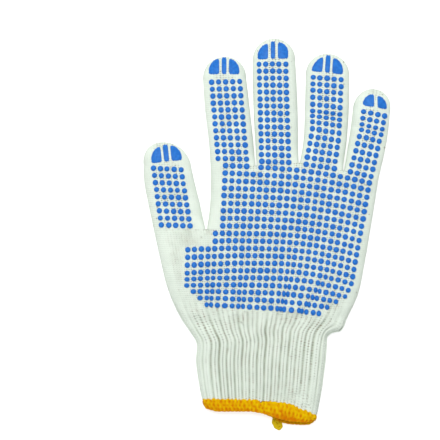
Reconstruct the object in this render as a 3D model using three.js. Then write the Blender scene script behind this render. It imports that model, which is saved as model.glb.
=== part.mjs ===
// Dotted knit work glove for a left hand, lying on its back with the palm side up.
// Millimetres, +Z up. The fingers point along +Y, and the glove rests on z = 0.
// Each knitted section is a hollow wall of its own, open towards the next one, so the
// hollow runs from the cuff's mouth into every finger.

import * as THREE from "three";

// Driving dimensions
const WALL = 1.8;
const FULL_HEIGHT = 9.0;
const EDGE_HEIGHT = 3.0;
const TOP_ROUNDING = 11.0;
const UNDER_ROUNDING = 6.0;
const SEAM_GAP = 0.3;
const CROTCH_REACH = 9.0;
const CROTCH_TIGHTNESS = 0.8;
const THIN_WALL_SHARE = 0.8;
const LEAST_HOLLOW = 0.3;

const RIB_COUNT = 18;
const RIB_COLUMNS = [0, 0.28, 0.72];
const RIB_CREST = 0.35;
const RIB_GROOVE = 0.75;
const GATHER_LENGTH = 34.0;

const HEM_BULGE = 0.8;
const HEM_INNER = 2.1;
const HEM_MOUTH_INSET = 0.6;
const HEM_UNDER_DROP = 2.6;
const HEM_UNDER_FROM = 0.52;
const HEM_UNDER_RISE = 0.22;
const HEM_UNDER_END = 0.12;

const FILM_THICKNESS = 0.6;
const FILM_LIFT = 0.3;
const FILM_SIDE_SHARE = 0.35;
const FILM_ROUND_SHARE = 0.62;
const TIP_ROUNDNESS = 2.15;
const BEND_START = 0.375;

// Outline rows from the mouth up. Each row gives its left and right ends; bow and wave bend
// the row between them, by so many mm at its middle and at its quarters.
const CUFF_ROWS = [
  { lx: -39.4, ly: -102.8, rx: 31.3, ry: -113.2, bow: 4.6, wave: -1.4 },
  { lx: -41.6, ly: -92.5, rx: 34.4, ry: -97.5, bow: 3.0, wave: -0.6 },
  { lx: -43.2, ly: -79.0, rx: 36.4, ry: -81.5, bow: 1.2, wave: 0 },
  { lx: -43.1, ly: -67.2, rx: 38.4, ry: -65.5, bow: 0, wave: 0 },
];
const HEM_MOUTH = { lx: -37.5, ly: -108.6, rx: 29.6, ry: -116.0, bow: -0.7, wave: 1.2 };
const LOWER_HAND_ROWS = [
  { lx: -43.1, ly: -67.2, rx: 38.4, ry: -65.5, bow: 0, wave: 0 },
  { lx: -47.4, ly: -60.0, rx: 41.0, ry: -60.6, bow: 0, wave: 0 },
  { lx: -54.0, ly: -50.5, rx: 48.6, ry: -54.0, bow: 0, wave: 0 },
  { lx: -61.3, ly: -34.0, rx: 57.0, ry: -38.0, bow: 0, wave: 0 },
  { lx: -66.3, ly: -14.0, rx: 61.6, ry: -17.0, bow: 0, wave: 0 },
  { lx: -70.0, ly: 3.0, rx: 64.6, ry: 0.4, bow: 0, wave: 0 },
];
const UPPER_HAND_ROWS = [
  { lx: -37.0, ly: 3.3, rx: 64.6, ry: 0.4, bow: 0, wave: 0 },
  { lx: -35.2, ly: 17.0, rx: 66.8, ry: 13.6, bow: 0, wave: 0 },
  { lx: -34.5, ly: 30.0, rx: 68.8, ry: 26.0, bow: 0, wave: 0 },
  { lx: -34.6, ly: 42.4, rx: 70.4, ry: 35.6, bow: 0, wave: 0 },
];
// Where neighbouring digits part: beside the thumb, then from the index finger on
const CROTCHES = [
  { x: -37.4, y: 3.2 },
  { x: -6.3, y: 42.9 },
  { x: 20.6, y: 44.6 },
  { x: 48.1, y: 39.8 },
];

// Each digit's rows from its base to where its tip begins to round, then the tip's top point.
const DIGITS = {
  thumb: {
    rows: [
      { lx: -70.0, ly: 3.0, rx: -37.7, ry: 3.3 },
      { lx: -73.6, ly: 20.0, rx: -41.4, ry: 19.5 },
      { lx: -76.0, ly: 33.0, rx: -44.4, ry: 31.5 },
      { lx: -76.4, ly: 43.4, rx: -46.6, ry: 41.6 },
    ],
    tip: { x: -63.2, y: 57.6 },
    films: { stripe: 3.6, side: 6.6, gap: 0.9, height: 11.0, foot: 12.6 },
  },
  index_finger: {
    rows: [
      { lx: -34.6, ly: 42.4, rx: -6.6, ry: 42.9 },
      { lx: -35.8, ly: 59.1, rx: -8.1, ry: 59.1 },
      { lx: -38.0, ly: 77.8, rx: -10.2, ry: 77.8 },
      { lx: -39.4, ly: 96.4, rx: -12.4, ry: 97.4 },
    ],
    tip: { x: -26.2, y: 110.9 },
    films: { stripe: 3.4, side: 6.4, gap: 1.2, height: 10.8, foot: 12.0 },
  },
  middle_finger: {
    rows: [
      { lx: -6.0, ly: 42.9, rx: 20.3, ry: 44.6 },
      { lx: -7.2, ly: 65.3, rx: 19.9, ry: 65.3 },
      { lx: -8.0, ly: 84.1, rx: 19.4, ry: 84.1 },
      { lx: -8.4, ly: 108.0, rx: 18.2, ry: 108.0 },
    ],
    tip: { x: 5.0, y: 122.2 },
    films: { stripe: 3.4, side: 6.4, gap: 1.2, height: 10.8, foot: 12.0 },
  },
  ring_finger: {
    rows: [
      { lx: 20.9, ly: 44.6, rx: 47.8, ry: 39.8 },
      { lx: 23.4, ly: 59.4, rx: 50.1, ry: 57.2 },
      { lx: 24.2, ly: 76.6, rx: 51.5, ry: 76.6 },
      { lx: 24.8, ly: 100.0, rx: 51.8, ry: 98.6 },
    ],
    tip: { x: 38.9, y: 112.7 },
    films: { stripe: 3.7, side: 6.8, gap: 1.1, height: 11.2, foot: 12.4 },
  },
  little_finger: {
    rows: [
      { lx: 48.4, ly: 39.8, rx: 70.4, ry: 35.6 },
      { lx: 50.9, ly: 54.2, rx: 73.9, ry: 51.0 },
      { lx: 52.9, ly: 67.2, rx: 76.2, ry: 64.6 },
      { lx: 54.3, ly: 79.4, rx: 77.3, ry: 76.4 },
    ],
    tip: { x: 68.0, y: 90.7 },
    films: { stripe: 0, side: 6.4, gap: 1.0, height: 8.6, foot: 10.4 },
  },
};

// Soft rises (+) and hollows (-) of the upper side: centre, change of height and reach
const SWELLS = [
  { x: -46, y: -18, rise: 1.6, reach: 20 },
  { x: 38, y: -32, rise: 1.2, reach: 18 },
  { x: 4, y: -20, rise: -0.5, reach: 16 },
  { x: 12, y: 32, rise: 0.7, reach: 22 },
];
// Folds across the upper side: ends of the line, depth and half width
const FOLDS = [
  { x0: 25, y0: 76.5, x1: 51, y1: 72.5, depth: 1.1, half: 2.4 },
  { x0: 53, y0: 67.5, x1: 76, y1: 63.0, depth: 0.8, half: 2.2 },
  { x0: -75, y0: 24, x1: -43, y1: 21, depth: 0.9, half: 3.0 },
  { x0: -37, y0: 70, x1: -10, y1: 69, depth: 0.5, half: 2.6 },
  { x0: -52, y0: -53, x1: -30, y1: -58, depth: 0.9, half: 3.4 },
  { x0: 30, y0: -58, x1: 47, y1: -51, depth: 0.9, half: 3.4 },
];

const clamp01 = (t) => Math.min(Math.max(t, 0), 1);
const smooth = (t) => clamp01(t) ** 2 * (3 - 2 * clamp01(t));
const ends = (rows, side) =>
  rows.map((row) => new THREE.Vector2(row[`${side}x`], row[`${side}y`]));

// A smooth edge through the rows' ends. The rows of the sections before and after it only
// steer its direction where they meet.
function edgeCurve(rows, side, before = [], after = []) {
  const lead = ends(before, side);
  const points = [...lead, ...ends(rows, side), ...ends(after, side)];
  const curve = new THREE.CatmullRomCurve3(
    points.map((p) => new THREE.Vector3(p.x, p.y, 0)),
    false,
    "centripetal",
  );
  const last = points.length - 1;
  return (v) => {
    const p = curve.getPoint((lead.length + v * (rows.length - 1)) / last);
    return new THREE.Vector2(p.x, p.y);
  };
}

const thumbRows = DIGITS.thumb.rows;
const cuffLeft = edgeCurve(CUFF_ROWS, "l", [HEM_MOUTH], [LOWER_HAND_ROWS[1]]);
const cuffRight = edgeCurve(CUFF_ROWS, "r", [HEM_MOUTH], [LOWER_HAND_ROWS[1]]);
const lowerLeft = edgeCurve(LOWER_HAND_ROWS, "l", [CUFF_ROWS[2]], [thumbRows[1]]);
const lowerRight = edgeCurve(LOWER_HAND_ROWS, "r", [CUFF_ROWS[2]], [UPPER_HAND_ROWS[1]]);
const upperLeft = edgeCurve(UPPER_HAND_ROWS, "l", [], [DIGITS.index_finger.rows[1]]);
const upperRight = edgeCurve(
  UPPER_HAND_ROWS,
  "r",
  [LOWER_HAND_ROWS[4]],
  [DIGITS.little_finger.rows[1]],
);
const hemLeft = edgeCurve([HEM_MOUTH, CUFF_ROWS[0]], "l", [], [CUFF_ROWS[1]]);
const hemRight = edgeCurve([HEM_MOUTH, CUFF_ROWS[0]], "r", [], [CUFF_ROWS[1]]);

for (const [name, digit] of Object.entries(DIGITS)) {
  const outer = { thumb: "l", index_finger: "l", little_finger: "r" }[name];
  const hand = name === "thumb" ? LOWER_HAND_ROWS[4] : UPPER_HAND_ROWS[2];
  digit.left = edgeCurve(digit.rows, "l", outer === "l" ? [hand] : []);
  digit.right = edgeCurve(digit.rows, "r", outer === "r" ? [hand] : []);
}

// How far the rounded tip stands past the last row, for c from -1 at its left end to 1
const tipShape = (c) =>
  Math.max(1 - Math.abs(c) ** TIP_ROUNDNESS, 0) ** (1 / TIP_ROUNDNESS);

// A point of a digit's plan: c from -1 to 1 across, v from 0 at its base to 1 at the last
// row, and on to 2 at the tip's edge. Inset moves the edges inwards.
function digitPoint(digit, c, v, inset = 0) {
  const left = digit.left(Math.min(v, 1));
  const right = digit.right(Math.min(v, 1));
  const across = right.clone().sub(left).normalize();
  left.addScaledVector(across, inset);
  right.addScaledVector(across, -inset);
  const point = left.clone().lerp(right, (c + 1) / 2);
  if (v <= 1) return point;
  const middle = left.add(right).multiplyScalar(0.5);
  const reach = new THREE.Vector2(digit.tip.x, digit.tip.y).sub(middle);
  reach.setLength(reach.length() - inset);
  return point.addScaledVector(reach, tipShape(c) * (v - 1));
}

// The glove's whole outline as short straight steps, from the mouth's left end round every
// digit to its right end
function samples(count, place) {
  return Array.from({ length: count + 1 }, (_, k) => place(k / count));
}
const digitOutline = (digit) => [
  ...samples(14, (t) => digitPoint(digit, -1, t)),
  ...samples(20, (t) => digitPoint(digit, -Math.cos(Math.PI * t), 2)),
  ...samples(14, (t) => digitPoint(digit, 1, 1 - t)),
];
const OUTLINE = [
  ...samples(4, hemLeft),
  ...samples(10, cuffLeft),
  ...samples(16, lowerLeft),
  ...digitOutline(DIGITS.thumb),
  ...samples(10, upperLeft),
  ...digitOutline(DIGITS.index_finger),
  ...digitOutline(DIGITS.middle_finger),
  ...digitOutline(DIGITS.ring_finger),
  ...digitOutline(DIGITS.little_finger),
  ...samples(10, (t) => upperRight(1 - t)),
  ...samples(16, (t) => lowerRight(1 - t)),
  ...samples(10, (t) => cuffRight(1 - t)),
  ...samples(4, (t) => hemRight(1 - t)),
];

function distanceToStep(x, y, a, b) {
  const [dx, dy] = [b.x - a.x, b.y - a.y];
  const length2 = dx * dx + dy * dy;
  const t = length2 > 0 ? clamp01(((x - a.x) * dx + (y - a.y) * dy) / length2) : 0;
  return Math.hypot(x - a.x - t * dx, y - a.y - t * dy);
}

function distanceToOutline(x, y) {
  let nearest = Infinity;
  for (let k = 1; k < OUTLINE.length; k += 1) {
    nearest = Math.min(nearest, distanceToStep(x, y, OUTLINE[k - 1], OUTLINE[k]));
  }
  return nearest;
}

const roundUp = (t) => Math.sqrt(1 - (1 - clamp01(t)) ** 2);

// Change of the upper side's height by the swells and folds
function relief(x, y) {
  const swell = SWELLS.map(
    (s) => s.rise * Math.exp(-(((x - s.x) / s.reach) ** 2) - ((y - s.y) / s.reach) ** 2),
  );
  const fold = FOLDS.map((f) => {
    const away = distanceToStep(x, y, { x: f.x0, y: f.y0 }, { x: f.x1, y: f.y1 });
    return -f.depth * Math.exp(-((away / f.half) ** 2));
  });
  return [...swell, ...fold].reduce((sum, part) => sum + part, 0);
}

// Heights of the upper and lower sides at a point of the plan. Each side runs from the
// edge's height to its own level along a quarter round, which tightens near a crotch. Inset
// gives a surface inside the wall, or outside it where it is negative.
function heights(x, y, inset = 0, onEdge = false) {
  if (onEdge) return { top: EDGE_HEIGHT, under: EDGE_HEIGHT };
  const away = Math.max(distanceToOutline(x, y) - inset, 0);
  const crotch = Math.min(...CROTCHES.map((c) => Math.hypot(x - c.x, y - c.y)));
  const tight = 1 - CROTCH_TIGHTNESS * Math.exp(-((crotch / CROTCH_REACH) ** 2));
  const topRound = Math.max(TOP_ROUNDING * tight - inset, 1);
  const underRound = Math.max(UNDER_ROUNDING * tight - inset, 1);
  const rise = roundUp(away / topRound);
  const drop = roundUp(away / underRound);
  const top = EDGE_HEIGHT + (FULL_HEIGHT - EDGE_HEIGHT - inset + relief(x, y)) * rise;
  return { top, under: EDGE_HEIGHT - (EDGE_HEIGHT - inset) * drop };
}

// A point of a plain section's plan: u from 0 to 1 across, v from 0 to 1 up its rows
function rowPoint(section, u, v, inset = 0) {
  const left = section.left(v);
  const right = section.right(v);
  const across = right.clone().sub(left).normalize();
  left.addScaledVector(across, inset);
  right.addScaledVector(across, -inset);
  const point = left.clone().lerp(right, u);
  const place = v * (section.rows.length - 1);
  const low = Math.min(Math.floor(place), section.rows.length - 2);
  const mix = (key) =>
    THREE.MathUtils.lerp(section.rows[low][key], section.rows[low + 1][key], place - low);
  const bend = mix("bow") * Math.sin(Math.PI * u) + mix("wave") * Math.sin(2 * Math.PI * u);
  point.y += bend + (section.bend ? section.bend(point.x, v) : 0);
  return point;
}

// A section's last row isn't straight where digits part from it: it runs from its left end
// through the crotches to its right end.
function bendThrough(lastRow, crotches) {
  const points = [{ x: lastRow.lx, y: lastRow.ly }, ...crotches, { x: lastRow.rx, y: lastRow.ry }];
  const [first, last] = [points[0], points.at(-1)];
  return (x, v) => {
    const straight = THREE.MathUtils.mapLinear(x, first.x, last.x, first.y, last.y);
    const k = Math.max(points.findIndex((p) => p.x >= x), 1);
    const [a, b] = [points[k - 1], points[k]];
    const bent = THREE.MathUtils.mapLinear(x, a.x, b.x, a.y, b.y);
    return (bent - straight) * smooth((v - BEND_START) / (1 - BEND_START));
  };
}

// Rings of the surface, one for each row: over the upper side from left to right and back
// under the lower side. Rib relief, where a section has ribs, is cut from both sides.
function rings(section, columns, levels, inset = 0) {
  return levels.map((v) => {
    const upper = [];
    const lower = [];
    columns.forEach((u, i) => {
      const plan = section.point(u, v, inset);
      const onEdge = i === 0 || i === columns.length - 1 || section.closesAt === v;
      const { top, under } = heights(plan.x, plan.y, inset, onEdge);
      const outside = inset > 0 ? heights(plan.x, plan.y) : null;
      const rib = section.rib && inset === 0 && !onEdge ? section.rib(i, v) : { up: 0, down: 0 };
      const thin = WALL * THIN_WALL_SHARE;
      const hollow = onEdge ? 0 : LEAST_HOLLOW;
      const highest = outside ? Math.max(outside.top - thin, EDGE_HEIGHT + hollow) : Infinity;
      const lowest = outside ? Math.min(outside.under + thin, EDGE_HEIGHT - hollow) : -Infinity;
      const topZ = Math.min(Math.max(top, EDGE_HEIGHT + (outside ? hollow : 0)), highest);
      const underZ = Math.max(Math.min(under, EDGE_HEIGHT - (outside ? hollow : 0)), lowest);
      upper.push(new THREE.Vector3(plan.x, plan.y, topZ + rib.up));
      lower.unshift(new THREE.Vector3(plan.x, plan.y, underZ + rib.down));
    });
    return [...upper, ...lower.slice(1, -1)];
  });
}

// Makes one closed body of triangles: joins equal corners, leaves out empty triangles and
// turns the faces outwards.
function closedBody(triangles) {
  const corners = new Map();
  const position = [];
  const cornerOf = (p) => {
    const key = [p.x, p.y, p.z].map((value) => Math.round(value * 1e3)).join(" ");
    if (!corners.has(key)) {
      corners.set(key, corners.size);
      position.push(p.x, p.y, p.z);
    }
    return corners.get(key);
  };
  const faces = triangles
    .map((triangle) => triangle.map(cornerOf))
    .filter(([a, b, c]) => a !== b && b !== c && c !== a);
  const at = (k) => new THREE.Vector3().fromArray(position, 3 * k);
  const volume = faces.reduce((sum, [a, b, c]) => sum + at(a).cross(at(b)).dot(at(c)), 0);
  const outwards = volume > 0 ? faces : faces.map(([a, b, c]) => [a, c, b]);
  const geometry = new THREE.BufferGeometry();
  geometry.setAttribute("position", new THREE.Float32BufferAttribute(position, 3));
  geometry.setIndex(outwards.flat());
  geometry.computeVertexNormals();
  return geometry;
}

const quad = (a, b, c, d) => [
  [a, b, c],
  [a, c, d],
];

// Faces between neighbouring rings, all the way round
function strip(from, to) {
  return from.flatMap((_, k) => {
    const next = (k + 1) % from.length;
    return quad(from[k], from[next], to[next], to[k]);
  });
}

// A knitted wall: the outer rings, the inner rings turned inside out, and the ends that
// join them. A digit's rings close at its tip, so it has one open end.
function wall(outer, inner, openAtTop) {
  const skins = [];
  for (let j = 1; j < outer.length; j += 1) skins.push(...strip(outer[j - 1], outer[j]));
  for (let j = 1; j < inner.length; j += 1) skins.push(...strip(inner[j], inner[j - 1]));
  skins.push(...strip(inner[0], outer[0]));
  if (openAtTop) skins.push(...strip(outer.at(-1), inner.at(-1)));
  return closedBody(skins);
}

const even = (count, from = 0, to = 1) =>
  Array.from({ length: count + 1 }, (_, k) => from + ((to - from) * k) / count);
const bunched = (count) => even(count).map((t) => (1 - Math.cos(Math.PI * t)) / 2);
const ribColumns = [
  ...Array.from({ length: RIB_COUNT }, (_, rib) =>
    RIB_COLUMNS.map((place) => (rib + place) / RIB_COUNT),
  ).flat(),
  1,
];

// Rib relief of a column: crests stand proud of the upper side, and grooves cut both sides
function ribAt(column, strength) {
  const groove = column % RIB_COLUMNS.length === 0;
  return groove
    ? { up: -RIB_GROOVE * strength, down: RIB_GROOVE * strength }
    : { up: RIB_CREST * strength, down: 0 };
}

const cuffLength = CUFF_ROWS.at(-1).ly - CUFF_ROWS[0].ly;
const lowerLength = LOWER_HAND_ROWS.at(-1).ly - LOWER_HAND_ROWS[0].ly;
const upperLength = UPPER_HAND_ROWS.at(-1).ly - UPPER_HAND_ROWS[0].ly;
const hemLength = CUFF_ROWS[0].ly - HEM_MOUTH.ly;

const cuff = {
  rows: CUFF_ROWS,
  left: cuffLeft,
  right: cuffRight,
  rib: (column) => ribAt(column, 1),
};
cuff.point = (u, v, inset) => rowPoint(cuff, u, v, inset);

const lowerHand = {
  rows: LOWER_HAND_ROWS,
  left: lowerLeft,
  right: lowerRight,
  bend: bendThrough(LOWER_HAND_ROWS.at(-1), CROTCHES.slice(0, 1)),
  rib: (column, v) => ribAt(column, 1 - smooth((v * lowerLength) / GATHER_LENGTH)),
};
lowerHand.point = (u, v, inset) => rowPoint(lowerHand, u, v, inset);

const upperHand = {
  rows: UPPER_HAND_ROWS,
  left: upperLeft,
  right: upperRight,
  bend: bendThrough(UPPER_HAND_ROWS.at(-1), CROTCHES.slice(1)),
};
upperHand.point = (u, v, inset) => rowPoint(upperHand, u, v, inset);

const hem = { rows: [HEM_MOUTH, CUFF_ROWS[0]], left: hemLeft, right: hemRight };

// Levels of a section, which leave half of the seam's gap at either end. The last one before
// the top holds the shape of the hollow close to the crotches.
const LEVEL_BELOW_TOP = 0.92;

function levels(count, length) {
  const half = SEAM_GAP / 2 / length;
  const spaced = even(count, half, 1 - half);
  return [...spaced.slice(0, -1), LEVEL_BELOW_TOP, spaced.at(-1)];
}

function sectionWall(section, columns, length, rowCounts) {
  const outer = rings(section, columns, levels(rowCounts.outer, length));
  const inner = rings(section, columns, levels(rowCounts.inner, length), WALL);
  return wall(outer, inner, true);
}

const DIGIT_COLUMNS = even(10).map((t) => -Math.cos(Math.PI * t));
const TIP_LEVELS = [1.3, 1.55, 1.78, 2];
const INNER_TIP_LEVELS = [1.4, 1.75, 2];

function digitWall(digit) {
  const length = digit.rows.at(-1).ly - digit.rows[0].ly;
  const start = SEAM_GAP / 2 / length;
  const section = { point: (c, v, inset) => digitPoint(digit, c, v, inset), closesAt: 2 };
  const outer = rings(section, DIGIT_COLUMNS, [...even(6, start, 1), ...TIP_LEVELS]);
  const inner = rings(section, DIGIT_COLUMNS, [...even(4, start, 1), ...INNER_TIP_LEVELS], WALL);
  return wall(outer, inner, false);
}

// The overlocked hem's section: place from the mouth (0) to the cuff (1), and inset
const HEM_SECTION = [
  { place: 1, inset: 0 },
  { place: 0.82, inset: -HEM_BULGE },
  { place: 0.45, inset: -HEM_BULGE },
  { place: 0.1, inset: -HEM_BULGE / 2 },
  { place: 0, inset: HEM_MOUTH_INSET },
  { place: 0.1, inset: HEM_INNER },
  { place: 0.6, inset: HEM_INNER },
  { place: 1, inset: WALL },
];
const HEM_COLUMNS = 26;

function hemGeometry() {
  const start = 1 - SEAM_GAP / hemLength;
  const loops = HEM_SECTION.map(({ place, inset }) => {
    const upper = [];
    const lower = [];
    even(HEM_COLUMNS).forEach((u, i) => {
      const plan = rowPoint(hem, u, place * start, inset);
      const { top, under } = heights(plan.x, plan.y, inset, i === 0 || i === HEM_COLUMNS);
      const along = smooth((u - HEM_UNDER_FROM) / HEM_UNDER_RISE);
      const drop = HEM_UNDER_DROP * along * smooth((1 - u) / HEM_UNDER_END);
      upper.push(new THREE.Vector3(plan.x, plan.y, top));
      lower.unshift(new THREE.Vector3(plan.x, plan.y - drop * (1 - place), Math.max(under, 0)));
    });
    return [...upper, ...lower.slice(1, -1)];
  });
  return closedBody(loops.flatMap((loop, k) => strip(loop, loops[(k + 1) % loops.length])));
}

// A thin film printed over a fingertip. Side is -1, 0 or 1: a quarter round on either side
// of the stripe, or the stripe itself, which has a flat top.
const FILM_COLUMNS = 4;
const FILM_ROWS = 3;

function filmGeometry(digit, side) {
  const { stripe, side: sideWidth, gap, height, foot } = digit.films;
  const tip = new THREE.Vector2(digit.tip.x, digit.tip.y);
  const middle = digitPoint(digit, 0, 1);
  const up = tip.clone().sub(middle).normalize();
  const right = new THREE.Vector2(up.y, -up.x);
  const width = side === 0 ? stripe : sideWidth;
  const start = side === 0 ? -stripe / 2 : stripe / 2 + gap;
  const corner = (i, j, lift) => {
    const a = i / FILM_COLUMNS;
    const sideways = (start + width * a) * (side === 0 ? 1 : side);
    const quarter = FILM_SIDE_SHARE + FILM_ROUND_SHARE * Math.sqrt(1 - a * a);
    const tall = side === 0 ? height : height * quarter;
    const along = foot - (tall * j) / FILM_ROWS;
    const plan = tip.clone().addScaledVector(right, sideways).addScaledVector(up, -along);
    return new THREE.Vector3(plan.x, plan.y, heights(plan.x, plan.y).top + lift);
  };
  const low = (i, j) => corner(i, j, FILM_LIFT);
  const high = (i, j) => corner(i, j, FILM_LIFT + FILM_THICKNESS);
  const faces = [];
  for (let i = 0; i < FILM_COLUMNS; i += 1) {
    for (let j = 0; j < FILM_ROWS; j += 1) {
      faces.push(...quad(high(i, j), high(i + 1, j), high(i + 1, j + 1), high(i, j + 1)));
      faces.push(...quad(low(i, j), low(i, j + 1), low(i + 1, j + 1), low(i + 1, j)));
    }
    faces.push(...quad(low(i, 0), low(i + 1, 0), high(i + 1, 0), high(i, 0)));
    const [r, n] = [FILM_ROWS, i + 1];
    faces.push(...quad(low(n, r), low(i, r), high(i, r), high(n, r)));
  }
  for (let j = 0; j < FILM_ROWS; j += 1) {
    const [c, n] = [FILM_COLUMNS, j + 1];
    faces.push(...quad(low(c, j), low(c, n), high(c, n), high(c, j)));
    faces.push(...quad(low(0, n), low(0, j), high(0, j), high(0, n)));
  }
  return closedBody(faces);
}

// The loose end of the hem's thread: a short flattened loop lying in front of the mouth
const TAIL = { x: 6.6, y: -119.3, length: 6.0, width: 3.6, height: 2.0, turn: 0.5 };

function tailGeometry() {
  const shape = new THREE.Shape();
  shape.absellipse(0, 0, TAIL.width / 2, TAIL.length / 2, 0, 2 * Math.PI, false, 0);
  const bevel = TAIL.height / 4;
  const geometry = new THREE.ExtrudeGeometry(shape, {
    depth: TAIL.height - 2 * bevel,
    curveSegments: 6,
    bevelThickness: bevel,
    bevelSize: bevel,
    bevelOffset: -bevel,
    bevelSegments: 1,
  });
  return geometry.translate(0, 0, bevel);
}

const finish = (color, roughness) =>
  new THREE.MeshStandardMaterial({ color, roughness, metalness: 0 });
const knit = () => finish(0xdfe8dd, 0.95);
const ribbing = () => finish(0xd3ddd0, 0.95);
const overlock = () => finish(0xeab40a, 0.9);
const film = () => finish(0x2f7fde, 0.5);

const glove = new THREE.Group();
function add(name, geometry, material, parent = glove) {
  const mesh = new THREE.Mesh(geometry, material);
  mesh.name = name;
  parent.add(mesh);
  return mesh;
}

add("overlock_hem", hemGeometry(), overlock());
const tail = add("yarn_tail", tailGeometry(), overlock());
tail.position.set(TAIL.x, TAIL.y, 0);
tail.rotation.z = TAIL.turn;
add("ribbed_cuff", sectionWall(cuff, ribColumns, cuffLength, { outer: 3, inner: 1 }), ribbing());
add("lower_hand", sectionWall(lowerHand, ribColumns, lowerLength, { outer: 7, inner: 4 }), knit());
add("upper_hand", sectionWall(upperHand, bunched(32), upperLength, { outer: 5, inner: 3 }), knit());

const FILM_NAMES = { left: -1, stripe: 0, right: 1 };
for (const [name, digit] of Object.entries(DIGITS)) {
  const group = new THREE.Group();
  add(name, digitWall(digit), knit(), group);
  for (const [part, side] of Object.entries(FILM_NAMES)) {
    if (side === 0 && digit.films.stripe === 0) continue;
    add(`${name}_film_${part}`, filmGeometry(digit, side), film(), group);
  }
  glove.add(group);
}

// The origin is under the middle of the whole glove, on the surface that it lies on.
const box = new THREE.Box3().setFromObject(glove);
const middle = box.getCenter(new THREE.Vector3());
glove.position.set(-middle.x, -middle.y, -box.min.z);
const part = new THREE.Group();
part.name = "dotted_knit_glove";
part.add(glove);

export default part;
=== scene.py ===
"""Looks of a dotted knit work glove, lying on its back with the palm side up.

Lengths in this file are millimetres in the glove's own plan, unless a name says otherwise: x runs
across the hand, y towards the fingertips and z up. Meshes are made in metres.
"""

import logging
import math
from collections.abc import Sequence
from dataclasses import dataclass, field
from enum import Enum

import bmesh
import bpy
import numpy as np
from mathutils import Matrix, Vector


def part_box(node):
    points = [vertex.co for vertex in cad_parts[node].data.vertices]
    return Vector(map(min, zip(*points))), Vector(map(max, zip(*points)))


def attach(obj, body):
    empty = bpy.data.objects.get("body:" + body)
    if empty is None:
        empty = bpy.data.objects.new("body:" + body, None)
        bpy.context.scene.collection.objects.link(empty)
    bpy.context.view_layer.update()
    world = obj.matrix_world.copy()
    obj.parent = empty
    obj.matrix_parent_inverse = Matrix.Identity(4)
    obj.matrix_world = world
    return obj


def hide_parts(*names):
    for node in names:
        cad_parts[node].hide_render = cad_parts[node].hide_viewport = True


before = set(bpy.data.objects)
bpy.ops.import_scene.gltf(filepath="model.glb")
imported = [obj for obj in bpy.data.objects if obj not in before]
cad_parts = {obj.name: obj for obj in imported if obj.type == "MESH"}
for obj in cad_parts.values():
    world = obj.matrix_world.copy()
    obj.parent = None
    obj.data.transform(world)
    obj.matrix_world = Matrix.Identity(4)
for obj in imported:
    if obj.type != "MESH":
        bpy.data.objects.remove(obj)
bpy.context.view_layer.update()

LOG = logging.getLogger("dotted_glove")
METRE = 0.001
BODY = "root"

Array = np.ndarray
Pair = tuple[float, float]
Triple = tuple[float, float, float]
Colour = Triple
Shifts = tuple[Pair, ...]
Triples = tuple[Triple, ...]
Ramp = Pair
Socket = bpy.types.NodeSocket
Material = bpy.types.Material
Piece = bpy.types.Object


class Side(Enum):
    """Which end of a row is meant."""

    LEFT = "l"
    RIGHT = "r"


class Slot(Enum):
    """The record's material slots."""

    KNIT = "cotton_knit"
    YARN = "overlock_yarn"
    PVC = "pvc_print"


@dataclass(frozen=True)
class Row:
    """One row across the glove: its left and right ends, and how far the row between them bends."""

    lx: float
    ly: float
    rx: float
    ry: float
    bow: float = 0.0
    wave: float = 0.0

    def end(self, side: Side) -> Pair:
        """The row's end on that side."""
        return (self.lx, self.ly) if side is Side.LEFT else (self.rx, self.ry)


Rows = Sequence[Row]


@dataclass(frozen=True)
class FilmSide:
    """A quarter round beside the stripe: its sizes, the share of its height at its outer edge, its curve."""

    width: float = 6.5
    height: float = 9.9
    low: float = 0.2
    power: float = 1.9


@dataclass(frozen=True)
class FilmLayout:
    """The films printed on a fingertip, placed from the middle of the stripe's foot.

    Lean is how many degrees they lean to the right, and slant how far their foot falls for each
    millimetre to the right.
    """

    foot: Pair
    lean: float = 0.0
    slant: float = 0.0
    stripe: float = 3.0
    gap: float = 1.6
    height: float = 10.8
    left: FilmSide = FilmSide()
    right: FilmSide = FilmSide()


@dataclass(frozen=True)
class DigitPlan:
    """A digit's rows from its base up, its tip and the films on it."""

    rows: tuple[Row, ...]
    tip: Pair
    films: FilmLayout
    wales: int
    round_left: bool = False
    round_right: bool = False


FULL_HEIGHT = 9.0
EDGE_HEIGHT = 3.0
ROUND_RISE = FULL_HEIGHT - EDGE_HEIGHT
WALL = 1.8
TOP_ROUNDING = 11.0
UNDER_ROUNDING = 6.0
CROTCH_REACH = 9.0
CROTCH_TIGHTNESS = 0.8
CROTCH_RISE = 3.4
CROTCH_RISE_REACH = 5.0
THIN_WALL_SHARE = 0.8
LEAST_HOLLOW = 0.3
TIP_ROUNDNESS = 2.15
BEND_START = 0.375
RIB_WALES = 5
STITCH_SLANT = 0.7
CROWN_WIDTH = 0.85
CROWN_START = 0.12
COURSE = 1.25
LEAST_LENGTH = 1e-9
LEAST_STEP = 1e-6
WELD_DISTANCE = 2e-6
FLAT_EDGE = 1e-7

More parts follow.
